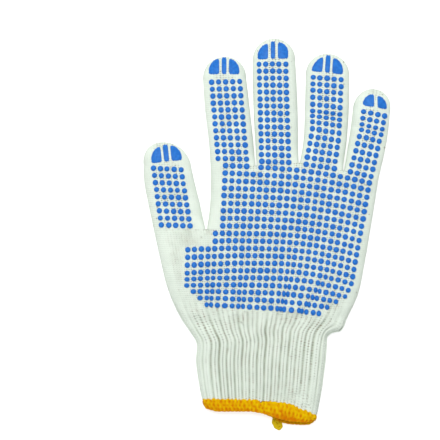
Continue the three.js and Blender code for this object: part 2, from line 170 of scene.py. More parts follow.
CUFF_ROWS = (
    Row(-39.4, -102.8, 31.3, -113.2, bow=4.6, wave=-1.4),
    Row(-41.6, -92.5, 34.4, -97.5, bow=3.0, wave=-0.6),
    Row(-43.2, -79.0, 36.4, -81.5, bow=1.2),
    Row(-43.1, -67.2, 38.4, -65.5),
)
HEM_MOUTH = Row(-37.5, -108.6, 29.6, -116.0)
LOWER_HAND_ROWS = (
    Row(-43.1, -67.2, 38.4, -65.5),
    Row(-47.4, -60.0, 41.0, -60.6),
    Row(-54.0, -50.5, 48.6, -54.0),
    Row(-61.3, -34.0, 57.0, -38.0),
    Row(-66.3, -14.0, 61.6, -17.0),
    Row(-70.0, 3.0, 64.6, 0.4),
)
UPPER_HAND_ROWS = (
    Row(-37.0, 3.3, 64.6, 0.4),
    Row(-35.2, 17.0, 66.8, 13.6),
    Row(-34.5, 30.0, 68.8, 26.0),
    Row(-34.6, 42.4, 70.4, 35.6),
)
CROTCHES = ((-37.4, 3.2), (-6.3, 42.9), (20.6, 44.6), (48.1, 39.8))

DIGITS = {
    "thumb": DigitPlan(
        rows=(
            Row(-70.0, 3.0, -37.7, 3.3), Row(-73.6, 20.0, -41.4, 19.5),
            Row(-76.0, 33.0, -44.4, 31.5), Row(-76.4, 43.4, -46.6, 41.6),
        ),
        tip=(-63.2, 57.6),
        films=FilmLayout((-61.8, 45.3), lean=-6.4, stripe=3.2, gap=1.4),
        wales=22,
        round_left=True,
    ),
    "index_finger": DigitPlan(
        rows=(
            Row(-34.6, 42.4, -6.6, 42.9), Row(-35.8, 59.1, -8.1, 59.1),
            Row(-38.0, 77.8, -10.2, 77.8), Row(-39.4, 96.4, -12.4, 97.4),
        ),
        tip=(-26.2, 110.9),
        films=FilmLayout((-26.2, 99.7), stripe=3.0, gap=1.5),
        wales=19,
        round_left=True,
    ),
    "middle_finger": DigitPlan(
        rows=(
            Row(-6.0, 42.9, 20.3, 44.6), Row(-7.2, 65.3, 19.9, 65.3),
            Row(-8.0, 84.1, 19.4, 84.1), Row(-8.4, 108.0, 18.2, 108.0),
        ),
        tip=(5.0, 122.2),
        films=FilmLayout(
            (4.2, 109.2), slant=-0.03, stripe=2.8, height=11.2,
            left=FilmSide(height=9.8), right=FilmSide(height=10.5, low=0.35, power=2.0),
        ),
        wales=17,
    ),
    "ring_finger": DigitPlan(
        rows=(
            Row(20.9, 44.6, 47.8, 39.8), Row(23.4, 59.4, 50.1, 57.2),
            Row(24.2, 76.6, 51.5, 76.6), Row(24.8, 100.0, 51.8, 98.6),
        ),
        tip=(38.9, 112.7),
        films=FilmLayout(
            (37.9, 100.6), lean=4.5, slant=0.03, stripe=3.1, gap=1.45, height=11.2,
            left=FilmSide(6.6, 9.6, 0.1, 1.6), right=FilmSide(6.8, 9.8, 0.15, 2.0),
        ),
        wales=17,
    ),
    "little_finger": DigitPlan(
        rows=(
            Row(48.4, 39.8, 70.4, 35.6), Row(50.9, 54.2, 73.9, 51.0),
            Row(52.9, 67.2, 76.2, 64.6), Row(54.3, 79.4, 77.3, 76.4),
        ),
        tip=(68.0, 90.7),
        films=FilmLayout(
            (68.2, 79.0), slant=0.17, stripe=0.0, gap=1.0,
            left=FilmSide(7.0, 8.2, 0.15, 1.75), right=FilmSide(5.9, 7.75, 0.12, 2.2),
        ),
        wales=15,
        round_right=True,
    ),
}
TAIL_CENTRE = (6.6, -119.3)


@dataclass(frozen=True)
class Swell:
    """A soft rise (+) or hollow (-) of the upper side."""

    x: float
    y: float
    rise: float
    reach: float


@dataclass(frozen=True)
class Fold:
    """A fold along a line: its depth at the first end, what share is left at the second, its half width."""

    x0: float
    y0: float
    x1: float
    y1: float
    depth: float
    half: float
    kept: float = 1.0


SWELLS = (
    Swell(-46, -18, 1.6, 20),
    Swell(38, -32, 1.2, 18),
    Swell(4, -20, -0.5, 16),
    Swell(12, 32, 0.7, 22),
)
FOLDS = (
    Fold(25, 76.5, 51, 72.5, 1.1, 2.4),
    Fold(53, 67.5, 76, 63.0, 0.8, 2.2),
    Fold(-75, 24, -43, 21, 0.9, 3.0),
    Fold(-37, 70, -10, 69, 0.5, 2.6),
    Fold(-52, -53, -30, -58, 0.9, 3.4),
    Fold(30, -58, 47, -51, 0.9, 3.4),
    Fold(13.6, -50, 12.6, -57, 1.2, 1.6),
    Fold(9.3, -52, 16.2, -8, 1.5, 2.4, kept=0.0),
    Fold(21.0, -52, 41.5, -21, 1.5, 2.4, kept=0.0),
    Fold(-16.0, -53, -18.0, -8, 1.0, 2.8, kept=0.0),
    Fold(-33.0, -55, -43.0, -16, 1.1, 3.0, kept=0.0),
)
RIPPLES = ((0.14, 2.9, 5.3, 1.0), (0.12, 4.7, -2.3, 2.0), (0.16, 6.1, 7.9, 0.5))


def smooth(t: Array | float) -> Array:
    """The smooth step 3t^2 - 2t^3 of t held between 0 and 1."""
    t = np.clip(t, 0.0, 1.0)
    return t * t * (3.0 - 2.0 * t)


def ramp(t: Array, way: Ramp) -> Array:
    """A smooth step that starts at the first number of the way and takes the second, back if below 0."""
    start, over = way
    return smooth((t - start) / over)


def whole_turn(count: int) -> Array:
    """That many angles, evenly round a circle."""
    return 2.0 * np.pi * np.arange(count) / count


def round_up(t: Array) -> Array:
    """A quarter round: sqrt(1 - (1 - t)^2) of t held between 0 and 1."""
    return np.sqrt(1.0 - (1.0 - np.clip(t, 0.0, 1.0)) ** 2)


def cosine_steps(count: int) -> Array:
    """Places from 0 to 1 in that many steps, (1 - cos(pi t)) / 2, which are closer at both ends."""
    return (1.0 - np.cos(np.pi * np.linspace(0.0, 1.0, count + 1))) / 2.0


def one_long(vectors: Array) -> Array:
    """The vectors in the last axis, each made one long."""
    return vectors / np.maximum(np.linalg.norm(vectors, axis=-1, keepdims=True), LEAST_LENGTH)


def running_length(points: Array) -> Array:
    """How far along the line through the points each of them lies."""
    return np.append(0.0, np.cumsum(np.linalg.norm(np.diff(points, axis=0), axis=1)))


def with_waves(start: Array | float, waves: Triples, x: Array) -> Array:
    """The start plus sine waves, each size * sin(rate * x + phase)."""
    return sum((size * np.sin(rate * x + phase) for size, rate, phase in waves), start)


def crossed_waves(waves: Triples, a: Array, b: Array) -> Array:
    """The product of sine waves of unlike lengths, each sin(p * a + q * b + phase)."""
    return math.prod(np.sin(p * a + q * b + phase) for p, q, phase in waves)


def turning(start: Array, end: Array, v: Array) -> Array:
    """Columns that turn from the start's places into the end's by a smooth step of each row's v."""
    return start + (end - start) * smooth(v)[:, None]


def round_length(across: Array | float) -> Array:
    """The length of a quarter round that wide, from the edge up: pi/2 sqrt((across^2 + rise^2) / 2)."""
    return (math.pi / 2.0) * np.sqrt((across**2 + ROUND_RISE**2) / 2.0)


def round_place(along: Array, across: Array | float, length: Array | float) -> Array:
    """How far from the edge a place along that round lies: across (1 - cos(pi/2 along / length))."""
    return across * (1.0 - np.cos(np.pi / 2.0 * np.clip(along / length, 0.0, 1.0)))


def moved_in(left: Array, right: Array, inset: Array) -> tuple[Array, Array]:
    """The points of two facing edges, each moved towards the other by the inset."""
    step = one_long(right - left) * inset[..., None]
    return left + step, right - step


def tip_shape(c: Array) -> Array:
    """How far the rounded tip stands out, for c from -1 to 1 across: (1 - |c|^p)^(1/p)."""
    inside = np.maximum(1.0 - np.abs(c) ** TIP_ROUNDNESS, 0.0)
    return inside ** (1.0 / TIP_ROUNDNESS)


@dataclass(frozen=True)
class Pull:
    """A place in the plan where the cloth is drawn aside: by how much, and how far that reaches."""

    at: Pair
    move: Pair
    reach: float


WAIST_PULLS = (
    Pull((46.5, -57.5), (0.9, -3.3), 5.0),
    Pull((40.0, -63.8), (-1.3, -0.2), 3.2),
)


def pulled(points: Array) -> Array:
    """Points of the plan, each moved by every pull in a bell shape of its distance from it."""
    total = np.zeros_like(points)
    for pull in WAIST_PULLS:
        away = np.linalg.norm(points - np.array(pull.at), axis=-1, keepdims=True)
        total += np.array(pull.move) * np.exp(-((away / pull.reach) ** 2))
    return points + total


class EdgeCurve:
    """A centripetal Catmull-Rom curve through the rows' ends on one side.

    The rows before and after only steer its direction where sections meet.
    """

    def __init__(self, rows: Rows, side: Side, before: Rows = (), after: Rows = ()) -> None:
        """Keeps the ends that the curve runs through.

        Args:
            rows: The section's own rows.
            side: The side whose ends are joined.
            before: Rows of the section before it.
            after: Rows of the section after it.
        """
        ends = [row.end(side) for row in (*before, *rows, *after)]
        points = np.array(ends, float)
        first = 2.0 * points[0] - points[1]
        last = 2.0 * points[-1] - points[-2]
        self.points = np.vstack([first, points, last])
        self.lead = len(before)
        self.steps = len(rows) - 1

    def at(self, v: Array) -> Array:
        """Points of the curve.

        Each stretch is the cubic through p1 and p2 whose end directions come from the points on
        either side, weighted by the square roots of the distances.

        Args:
            v: Places from 0 at the first own row to 1 at the last.

        Returns:
            The points, with x and y in the last axis.
        """
        place = self.lead + np.asarray(v, float) * self.steps
        low = np.clip(np.floor(place).astype(int), 0, len(self.points) - 4)
        w = (place - low)[..., None]
        p0, p1, p2, p3 = (self.points[low + k] for k in range(4))
        d0, d1, d2 = (
            np.sqrt(np.linalg.norm(b - a, axis=-1, keepdims=True))
            for a, b in ((p0, p1), (p1, p2), (p2, p3))
        )
        m1 = ((p1 - p0) / d0 - (p2 - p0) / (d0 + d1) + (p2 - p1) / d1) * d1
        m2 = ((p2 - p1) / d1 - (p3 - p1) / (d1 + d2) + (p3 - p2) / d2) * d1
        c2 = 3.0 * (p2 - p1) - 2.0 * m1 - m2
        c3 = 2.0 * (p1 - p2) + m1 + m2
        return p1 + w * (m1 + w * (c2 + w * c3))


def bend_through(last_row: Row, crotches: Sequence[Pair], x: Array, v: Array) -> Array:
    """How far a row is bent so that the last one runs through the crotches.

    Args:
        last_row: The section's straight last row.
        crotches: Where neighbouring digits part.
        x: Places across.
        v: Rows from 0 to 1.

    Returns:
        The bent line less the straight one, times a smooth step of v.
    """
    points = [last_row.end(Side.LEFT), *crotches, last_row.end(Side.RIGHT)]
    xs, ys = np.array(points).T
    straight = np.interp(x, xs[[0, -1]], ys[[0, -1]])
    bent = np.interp(x, xs, ys)
    return (bent - straight) * smooth((v - BEND_START) / (1.0 - BEND_START))


class BandPlan:
    """The plan of a plain section between two edges: u from 0 to 1 across, v from 0 to 1 up."""

    def __init__(
        self, rows: Rows, before: Sequence[Rows], after: Sequence[Rows], crotches: Sequence[Pair] = ()
    ) -> None:
        """Makes the section's edge curves.

        Args:
            rows: The section's rows.
            before: Steering rows below it, for its left and its right edge.
            after: Steering rows above it, for its left and its right edge.
            crotches: Crotches that its last row runs through.
        """
        self.rows = rows
        self.left = EdgeCurve(rows, Side.LEFT, before[0], after[0])
        self.right = EdgeCurve(rows, Side.RIGHT, before[1], after[1])
        self.crotches = crotches

    def width(self, v: Array) -> Array:
        """The section's width at each row v."""
        return np.linalg.norm(self.right.at(v) - self.left.at(v), axis=-1)

    def at(self, u: Array, v: Array, inset: Array | float = 0.0) -> Array:
        """Points of the plan.

        A point lies between the two edges, moved inwards by the inset, and its y is bent by
        bow * sin(pi u) + wave * sin(2 pi u) and by the bend through the crotches.

        Args:
            u: Places across.
            v: Rows up.
            inset: How far the edges are moved inwards.

        Returns:
            The points, with x and y in the last axis.
        """
        u, v, inset = np.broadcast_arrays(u, v, inset)
        left, right = moved_in(self.left.at(v), self.right.at(v), inset)
        point = left + (right - left) * u[..., None]
        place = v * (len(self.rows) - 1)
        steps = np.arange(len(self.rows))
        bow = np.interp(place, steps, [row.bow for row in self.rows])
        wave = np.interp(place, steps, [row.wave for row in self.rows])
        point[..., 1] += bow * np.sin(np.pi * u) + wave * np.sin(2.0 * np.pi * u)
        if len(self.crotches):
            point[..., 1] += bend_through(self.rows[-1], self.crotches, point[..., 0], v)
        return pulled(point)


class FingerPlan:
    """The plan of a digit: u from 0 to 1 across, v from 0 to 1 up its rows and on to 2 at the tip."""

    def __init__(self, plan: DigitPlan, hand_row: Row) -> None:
        """Makes the digit's edge curves.

        Args:
            plan: The digit's rows and tip.
            hand_row: The hand's row that steers its outer edge.
        """
        self.plan = plan
        before_left = (hand_row,) if plan.round_left else ()
        before_right = (hand_row,) if plan.round_right else ()
        self.left = EdgeCurve(plan.rows, Side.LEFT, before_left)
        self.right = EdgeCurve(plan.rows, Side.RIGHT, before_right)

    def width(self, v: Array) -> Array:
        """The digit's width at each row v."""
        v = np.minimum(v, 1.0)
        return np.linalg.norm(self.right.at(v) - self.left.at(v), axis=-1)

    def reach(self) -> float:
        """How far the tip stands past the middle of the last row."""
        middle = (self.left.at(np.array(1.0)) + self.right.at(np.array(1.0))) / 2.0
        return float(np.linalg.norm(np.array(self.plan.tip) - middle))

    def at(self, u: Array, v: Array, inset: Array | float = 0.0) -> Array:
        """Points of the plan.

        Up to v = 1 a point lies between the two edges. Past it, the last row is pushed towards
        the tip by tip_shape(c) * (v - 1).

        Args:
            u: Places across.
            v: Rows up.
            inset: How far the edges and the tip are moved inwards.

        Returns:
            The points, with x and y in the last axis.
        """
        u, v, inset = np.broadcast_arrays(u, v, inset)
        body = np.minimum(v, 1.0)
        left, right = moved_in(self.left.at(body), self.right.at(body), inset)
        point = left + (right - left) * u[..., None]
        reach = np.array(self.plan.tip) - (left + right) / 2.0
        length = np.linalg.norm(reach, axis=-1, keepdims=True)
        reach = reach * (length - inset[..., None]) / length
        past = tip_shape(2.0 * u - 1.0) * np.maximum(v - 1.0, 0.0)
        return point + reach * past[..., None]


class GlovePlan:
    """Every section's plan, and the glove's outline round them all."""

    HAND_STEPS = 16
    HEM_STRIDE = 4
    DIGIT_STEPS = 18
    TIP_STEPS = 28

    def __init__(self) -> None:
        """Makes the sections' plans from the tables of rows."""
        thumb = DIGITS["thumb"].rows
        index = DIGITS["index_finger"].rows
        little = DIGITS["little_finger"].rows
        waist = LOWER_HAND_ROWS[1]
        self.cuff = BandPlan(CUFF_ROWS, ((HEM_MOUTH,),) * 2, ((waist,),) * 2)
        self.hem = BandPlan((HEM_MOUTH, CUFF_ROWS[0]), ((), ()), ((CUFF_ROWS[1],),) * 2)
        after_lower = ((thumb[1],), (UPPER_HAND_ROWS[1],))
        self.lower = BandPlan(LOWER_HAND_ROWS, ((CUFF_ROWS[2],),) * 2, after_lower, CROTCHES[:1])
        after_upper = ((index[1],), (little[1],))
        self.upper = BandPlan(UPPER_HAND_ROWS, ((), (LOWER_HAND_ROWS[4],)), after_upper, CROTCHES[1:])
        self.digits = {
            name: FingerPlan(plan, LOWER_HAND_ROWS[4] if name == "thumb" else UPPER_HAND_ROWS[2])
            for name, plan in DIGITS.items()
        }

    def outline(self) -> Array:
        """The outline's points, from the mouth's left end round every digit to its right end."""
        up = np.linspace(0.0, 1.0, self.HAND_STEPS + 1)
        side = np.linspace(0.0, 1.0, self.DIGIT_STEPS + 1)
        cap = cosine_steps(self.TIP_STEPS)
        hem_up = up[:: self.HEM_STRIDE]
        runs = [self.hem.left.at(hem_up), self.cuff.left.at(up), self.lower.left.at(up)]
        for name, digit in self.digits.items():
            runs.append(digit.at(0.0, side))
            runs.append(digit.at(cap, 2.0))
            runs.append(digit.at(1.0, side[::-1]))
            if name == "thumb":
                runs.append(self.upper.left.at(up))
        for plan in (self.upper, self.lower, self.cuff):
            runs.append(plan.right.at(up[::-1]))
        runs.append(self.hem.right.at(hem_up[::-1]))
        return pulled(np.vstack(runs))


class Cloth:
    """The cloth's upper and lower sides as heights over the plan."""

    BLOCK = 6000
    SLOPE_STEP = 0.6

    def __init__(self, plan: GlovePlan) -> None:
        """Keeps the outline as short straight steps.

        Args:
            plan: The glove's plan.
        """
        points = plan.outline()
        step = np.diff(points, axis=0)
        keep = np.linalg.norm(step, axis=1) > LEAST_STEP
        self.start = points[:-1][keep]
        self.step = step[keep]
        self.step2 = (self.step**2).sum(axis=1)

    def distance(self, x: Array, y: Array) -> Array:
        """The distance from each point to the outline.

        It is the least distance to any of the outline's straight steps.

        Args:
            x, y: The points' places.

        Returns:
            The distances, in the shape of x.
        """
        flat_x, flat_y = np.ravel(x), np.ravel(y)
        result = np.empty(len(flat_x))
        for first in range(0, len(flat_x), self.BLOCK):
            block = slice(first, first + self.BLOCK)
            dx = flat_x[block, None] - self.start[:, 0]
            dy = flat_y[block, None] - self.start[:, 1]
            t = np.clip((dx * self.step[:, 0] + dy * self.step[:, 1]) / self.step2, 0.0, 1.0)
            dx -= t * self.step[:, 0]
            dy -= t * self.step[:, 1]
            result[block] = np.sqrt((dx * dx + dy * dy).min(axis=1))
        return result.reshape(np.shape(x))

    def inside(self, x: Array, y: Array) -> Array:
        """Whether each point is inside the outline, by how often a line to the right crosses it."""
        x, y = x[..., None], y[..., None]
        x0, y0 = self.start[:, 0], self.start[:, 1]
        x1, y1 = (self.start + self.step).T
        spans = (y0 > y) != (y1 > y)
        rise = np.where(y1 == y0, 1.0, y1 - y0)
        crossing = x0 + (y - y0) * (x1 - x0) / rise
        return (spans & (x < crossing)).sum(axis=-1) % 2 == 1

    @staticmethod
    def relief(x: Array, y: Array) -> Array:
        """Change of the upper side's height.

        Swells are bell shapes round a centre, folds are bell-shaped valleys along a line, and
        slanting sine waves height * sin(x / across + y / up + phase) leave the cloth uneven.

        Args:
            x, y: The points' places.

        Returns:
            The change of height.
        """
        total = np.zeros(np.shape(x))
        for s in SWELLS:
            total += s.rise * np.exp(-(((x - s.x) / s.reach) ** 2) - ((y - s.y) / s.reach) ** 2)
        for f in FOLDS:
            dx, dy = f.x1 - f.x0, f.y1 - f.y0
            t = np.clip(((x - f.x0) * dx + (y - f.y0) * dy) / (dx * dx + dy * dy), 0.0, 1.0)
            away = np.hypot(x - f.x0 - t * dx, y - f.y0 - t * dy)
            total -= f.depth * (1.0 + (f.kept - 1.0) * smooth(t)) * np.exp(-((away / f.half) ** 2))
        for height, across, up, phase in RIPPLES:
            total += height * np.sin(x / across + y / up + phase)
        return total

    @staticmethod
    def to_crotch(x: Array, y: Array) -> Array:
        """The distance from each point to the nearest crotch."""
        return np.min([np.hypot(x - cx, y - cy) for cx, cy in CROTCHES], axis=0)

    def edge_height(self, x: Array, y: Array) -> Array:
        """The height of the edge, which rises in a bell shape round each crotch."""
        return EDGE_HEIGHT + CROTCH_RISE * np.exp(-((self.to_crotch(x, y) / CROTCH_RISE_REACH) ** 2))

    def profile(self, away: Array, x: Array, y: Array, inset: Array | float = 0.0) -> tuple[Array, Array]:
        """Heights of both sides, at a known distance from the edge.

        Each side runs from the edge's height to its own level along a quarter round, which
        tightens near a crotch.

        Args:
            away: Distance from the edge, less the inset.
            x, y: The points' places.
            inset: Depth inside the wall, or height outside it where it is negative.

        Returns:
            The heights of the upper and the lower side.
        """
        crotch = self.to_crotch(x, y)
        edge = self.edge_height(x, y)
        tight = 1.0 - CROTCH_TIGHTNESS * np.exp(-((crotch / CROTCH_REACH) ** 2))
        away = np.maximum(away, 0.0)
        rise = round_up(away / np.maximum(TOP_ROUNDING * tight - inset, 1.0))
        drop = round_up(away / np.maximum(UNDER_ROUNDING * tight - inset, 1.0))
        top = edge + (FULL_HEIGHT - edge - inset + self.relief(x, y)) * rise
        return top, edge - (edge - inset) * drop

    def heights(self, x: Array, y: Array, inset: float = 0.0) -> tuple[Array, Array]:
        """Heights of the upper and the lower side over the plan, at a depth inside the wall."""
        return self.profile(self.distance(x, y) - inset, x, y, inset)

    def top_frame(self, x: Array, y: Array) -> tuple[Array, Array]:
        """Points on the upper side and their normals.

        The normal is (-dz/dx, -dz/dy, 1) by central differences, made one long.

        Args:
            x, y: The points' places.

        Returns:
            The points and the normals, with x, y and z in the last axis.
        """
        step = self.SLOPE_STEP
        east, west, north, south = (
            self.heights(x + dx, y + dy)[0]
            for dx, dy in ((step, 0.0), (-step, 0.0), (0.0, step), (0.0, -step))
        )
        slope_x = (east - west) / (2.0 * step)
        slope_y = (north - south) / (2.0 * step)
        normal = one_long(np.stack([-slope_x, -slope_y, np.ones_like(slope_x)], axis=-1))
        return np.stack([x, y, self.heights(x, y)[0]], axis=-1), normal


def placed(points: Array) -> Array:
    """Points of the glove's plan, in metres, at the place that the frame gives them.

    The frame's thread end has its middle at a known point of the plan, which gives the shift.

    Args:
        points: Points in millimetres.

    Returns:
        The same points in metres in the frame.
    """
    low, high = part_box("yarn_tail")
    middle = (Vector(low) + Vector(high)) / 2.0
    shift = np.array([middle.x - TAIL_CENTRE[0] * METRE, middle.y - TAIL_CENTRE[1] * METRE, 0.0])
    return points * METRE + shift


def face_corners(values: Array) -> Array:
    """The values at the four corners of each face between a grid's rows and columns, four to a row."""
    corners = (values[:-1, :-1], values[:-1, 1:], values[1:, 1:], values[1:, :-1])
    return np.stack(corners, axis=-1).reshape(-1, 4)


def grid_faces(index: Array, wrap_rows: bool = False, wrap_columns: bool = False) -> Array:
    """Four-cornered faces between neighbouring rows and columns of a grid of corner numbers.

    Args:
        index: The corner numbers, rows by columns.
        wrap_rows: Whether the last row joins the first.
        wrap_columns: Whether the last column joins the first.

    Returns:
        The faces, four corner numbers each.
    """
    if wrap_rows:
        index = np.vstack([index, index[:1]])
    if wrap_columns:
        index = np.hstack([index, index[:, :1]])
    return face_corners(index)


def ring_corners(values: Array, turn: float) -> Array:
    """The values at each face's corners, in a grid whose last column joins the first a turn further on."""
    return face_corners(np.hstack([values, values[:, :1] + turn])).ravel()


def in_scene(name: str, data: bpy.types.ID | None) -> Piece:
    """A new object with that data, linked to the scene."""
    thing = bpy.data.objects.new(name, data)
    bpy.context.scene.collection.objects.link(thing)
    return thing


@dataclass
class Surface:
    """A mesh in the making: corners in millimetres, faces of one size, and what the finish reads."""

    points: Array
    faces: Array
    stitch_uv: Array | None = None
    marks: dict[str, Array] = field(default_factory=dict)

    def to_object(self, name: str, weld: bool = False) -> Piece:
        """Makes the Blender object, at the origin.

        Args:
            name: The object's name.
            weld: Whether corners in the same place become one.

        Returns:
            The object.
        """
        mesh = bpy.data.meshes.new(name)
        count, corners = self.faces.shape
        mesh.vertices.add(len(self.points))
        mesh.vertices.foreach_set("co", placed(self.points).astype(np.float32).ravel())
        mesh.loops.add(count * corners)
        mesh.loops.foreach_set("vertex_index", self.faces.astype(np.int32).ravel())
        mesh.polygons.add(count)
        mesh.polygons.foreach_set("loop_start", np.arange(0, count * corners, corners, dtype=np.int32))
        mesh.update(calc_edges=True)
        if self.stitch_uv is not None:
            layer = mesh.uv_layers.new(name="stitch")
            layer.data.foreach_set("uv", self.stitch_uv.astype(np.float32).ravel())
        for key, values in self.marks.items():
            attribute = mesh.attributes.new(key, "FLOAT", "POINT")
            attribute.data.foreach_set("value", values.astype(np.float32).ravel())
        if weld:
            weld_corners(mesh)
        mesh.polygons.foreach_set("use_smooth", np.ones(len(mesh.polygons), bool))
        if "rim" in self.marks:
            sharpen_rims(mesh)
        mesh.validate()
        return in_scene(name, mesh)


def weld_corners(mesh: bpy.types.Mesh) -> None:
    """Joins a mesh's corners that lie in the same place, and drops what that empties."""
    work = bmesh.new()
    work.from_mesh(mesh)
    bmesh.ops.remove_doubles(work, verts=work.verts, dist=WELD_DISTANCE)
    bmesh.ops.dissolve_degenerate(work, edges=work.edges, dist=FLAT_EDGE)
    work.to_mesh(mesh)
    work.free()
    mesh.update()


def sharpen_rims(mesh: bpy.types.Mesh) -> None:
    """Marks the edges along an open end as sharp, so that the end doesn't darken the side's shading."""
    rim = np.zeros(len(mesh.vertices), np.float32)
    mesh.attributes["rim"].data.foreach_get("value", rim)
    ends = np.zeros(len(mesh.edges) * 2, np.int32)
    mesh.edges.foreach_get("vertices", ends)
    ends = ends.reshape(-1, 2)
    sharp = (rim[ends] > 0.5).all(axis=1)
    attribute = mesh.attributes.new("sharp_edge", "BOOLEAN", "EDGE")
    attribute.data.foreach_set("value", sharp)


@dataclass(frozen=True)
class Mottle:
    """Uneven patches: lumps to a metre, the levels between which they show, and their finer layers."""

    scale: float
    low: float
    high: float
    detail: float = 2.0
    roughness: float = 0.5


class Nodes:
    """Short ways to add shader nodes to one material."""

    MIX_FIRST = 6
    MIX_SECOND = 7
    MIX_RESULT = 2

    def __init__(self, name: str) -> None:
        """Starts an empty material with a principled shader.

        Args:
            name: The material's name.
        """
        self.material = bpy.data.materials.new(name)
        self.material.use_nodes = True
        self.tree = self.material.node_tree
        self.tree.nodes.clear()
        self.shader = self.tree.nodes.new("ShaderNodeBsdfPrincipled")
        output = self.tree.nodes.new("ShaderNodeOutputMaterial")
        self.join(self.shader.outputs["BSDF"], output.inputs["Surface"])

    def join(self, source: object, target: Socket) -> None:
        """Links an output to an input, or sets the input where the source is a plain value."""
        if isinstance(source, Socket):
            self.tree.links.new(source, target)
        else:
            target.default_value = source

    def math(self, operation: str, a: object, b: object = 0.0, c: object = 0.0) -> Socket:
        """A Math node's result.

        Args:
            operation: The node's operation.
            a: Its first value or output.
            b: Its second.
            c: Its third.

        Returns:
            The node's output.
        """
        node = self.tree.nodes.new("ShaderNodeMath")
        node.operation = operation
        for target, source in zip(node.inputs, (a, b, c)):
            self.join(source, target)
        return node.outputs[0]

    def times(self, a: object, b: object) -> Socket:
        """The product of two values."""
        return self.math("MULTIPLY", a, b)

    def times_plus(self, a: object, b: object, c: object) -> Socket:
        """The product of the first two values, plus the third."""
        return self.math("MULTIPLY_ADD", a, b, c)

    def wave(self, value: Socket, power: float, shift: float = 0.0) -> Socket:
        """Peaks of 1 wherever value + shift is a whole number: (0.5 + 0.5 cos(2 pi value))^power."""
        turned = self.times_plus(value, 2.0 * math.pi, 2.0 * math.pi * shift)
        lifted = self.times_plus(self.math("COSINE", turned), 0.5, 0.5)
        return self.math("POWER", lifted, power)

    def spots(self, wale: Socket, course: Socket, powers: Pair, shifts: Pair = (0.0, 0.0)) -> Socket:
        """Spots where a wave across the wales meets one along the courses."""
        across = self.wave(wale, powers[0], shifts[0])
        return self.times(across, self.wave(course, powers[1], shifts[1]))

    def mottle(self, look: Mottle) -> Socket:
        """Patches of noise, from 0 to 1."""
        return self.between(self.noise(look.scale, look.detail, look.roughness), look.low, look.high)

    def colour(self, source: Socket) -> None:
        """Gives the shader its colour."""
        self.join(source, self.shader.inputs["Base Color"])

    def even(self, socket: str, value: float | tuple[float, ...]) -> None:
        """Sets one of the shader's own sockets to an even value."""
        self.shader.inputs[socket].default_value = value

    def noise(self, scale: float, detail: float = 2.0, roughness: float = 0.5) -> Socket:
        """Noise over the object's own coordinates.

        Args:
            scale: How many lumps there are to a metre.
            detail: How many finer layers it has.
            roughness: How strong they are.

        Returns:
            The noise's value, from 0 to 1.
        """
        node = self.tree.nodes.new("ShaderNodeTexNoise")
        place = self.tree.nodes.new("ShaderNodeTexCoord")
        self.join(place.outputs["Object"], node.inputs["Vector"])
        node.inputs["Scale"].default_value = scale
        node.inputs["Detail"].default_value = detail
        node.inputs["Roughness"].default_value = roughness
        return node.outputs["Fac"]

    def attribute(self, name: str) -> Socket:
        """The value of a mesh attribute."""
        node = self.tree.nodes.new("ShaderNodeAttribute")
        node.attribute_name = name
        return node.outputs["Fac"]

    def stitch(self) -> tuple[Socket, Socket]:
        """The wale and the course at each point, from the stitch map."""
        node = self.tree.nodes.new("ShaderNodeUVMap")
        node.uv_map = "stitch"
        split = self.tree.nodes.new("ShaderNodeSeparateXYZ")
        self.join(node.outputs["UV"], split.inputs[0])
        return split.outputs[0], split.outputs[1]

    def between(self, value: object, low: float, high: float) -> Socket:
        """The value's place between low and high, held from 0 to 1 and smoothed."""
        node = self.tree.nodes.new("ShaderNodeMapRange")
        node.interpolation_type = "SMOOTHSTEP"
        self.join(value, node.inputs["Value"])
        node.inputs["From Min"].default_value = low
        node.inputs["From Max"].default_value = high
        return node.outputs["Result"]

    def blend(self, share: object, first: object, second: object) -> Socket:
        """A mix of two colours: the first where share is 0, the second where it is 1."""
        node = self.tree.nodes.new("ShaderNodeMix")
        node.data_type = "RGBA"
        node.clamp_factor = True
        self.join(share, node.inputs["Factor"])
        for number, source in ((self.MIX_FIRST, first), (self.MIX_SECOND, second)):
            plain = isinstance(source, tuple)
            self.join((*source, 1.0) if plain else source, node.inputs[number])
        return node.outputs[self.MIX_RESULT]

    def bump(self, height: Socket, depth: float, strength: float) -> None:
        """Gives the shader a bump.

        Args:
            height: The height, from 0 to 1.
            depth: What a height of 1 stands for, in millimetres.
            strength: How strong the bump is.
        """
        node = self.tree.nodes.new("ShaderNodeBump")
        node.inputs["Strength"].default_value = strength
        node.inputs["Distance"].default_value = depth * METRE
        self.join(height, node.inputs["Height"])
        self.join(node.outputs["Normal"], self.shader.inputs["Normal"])


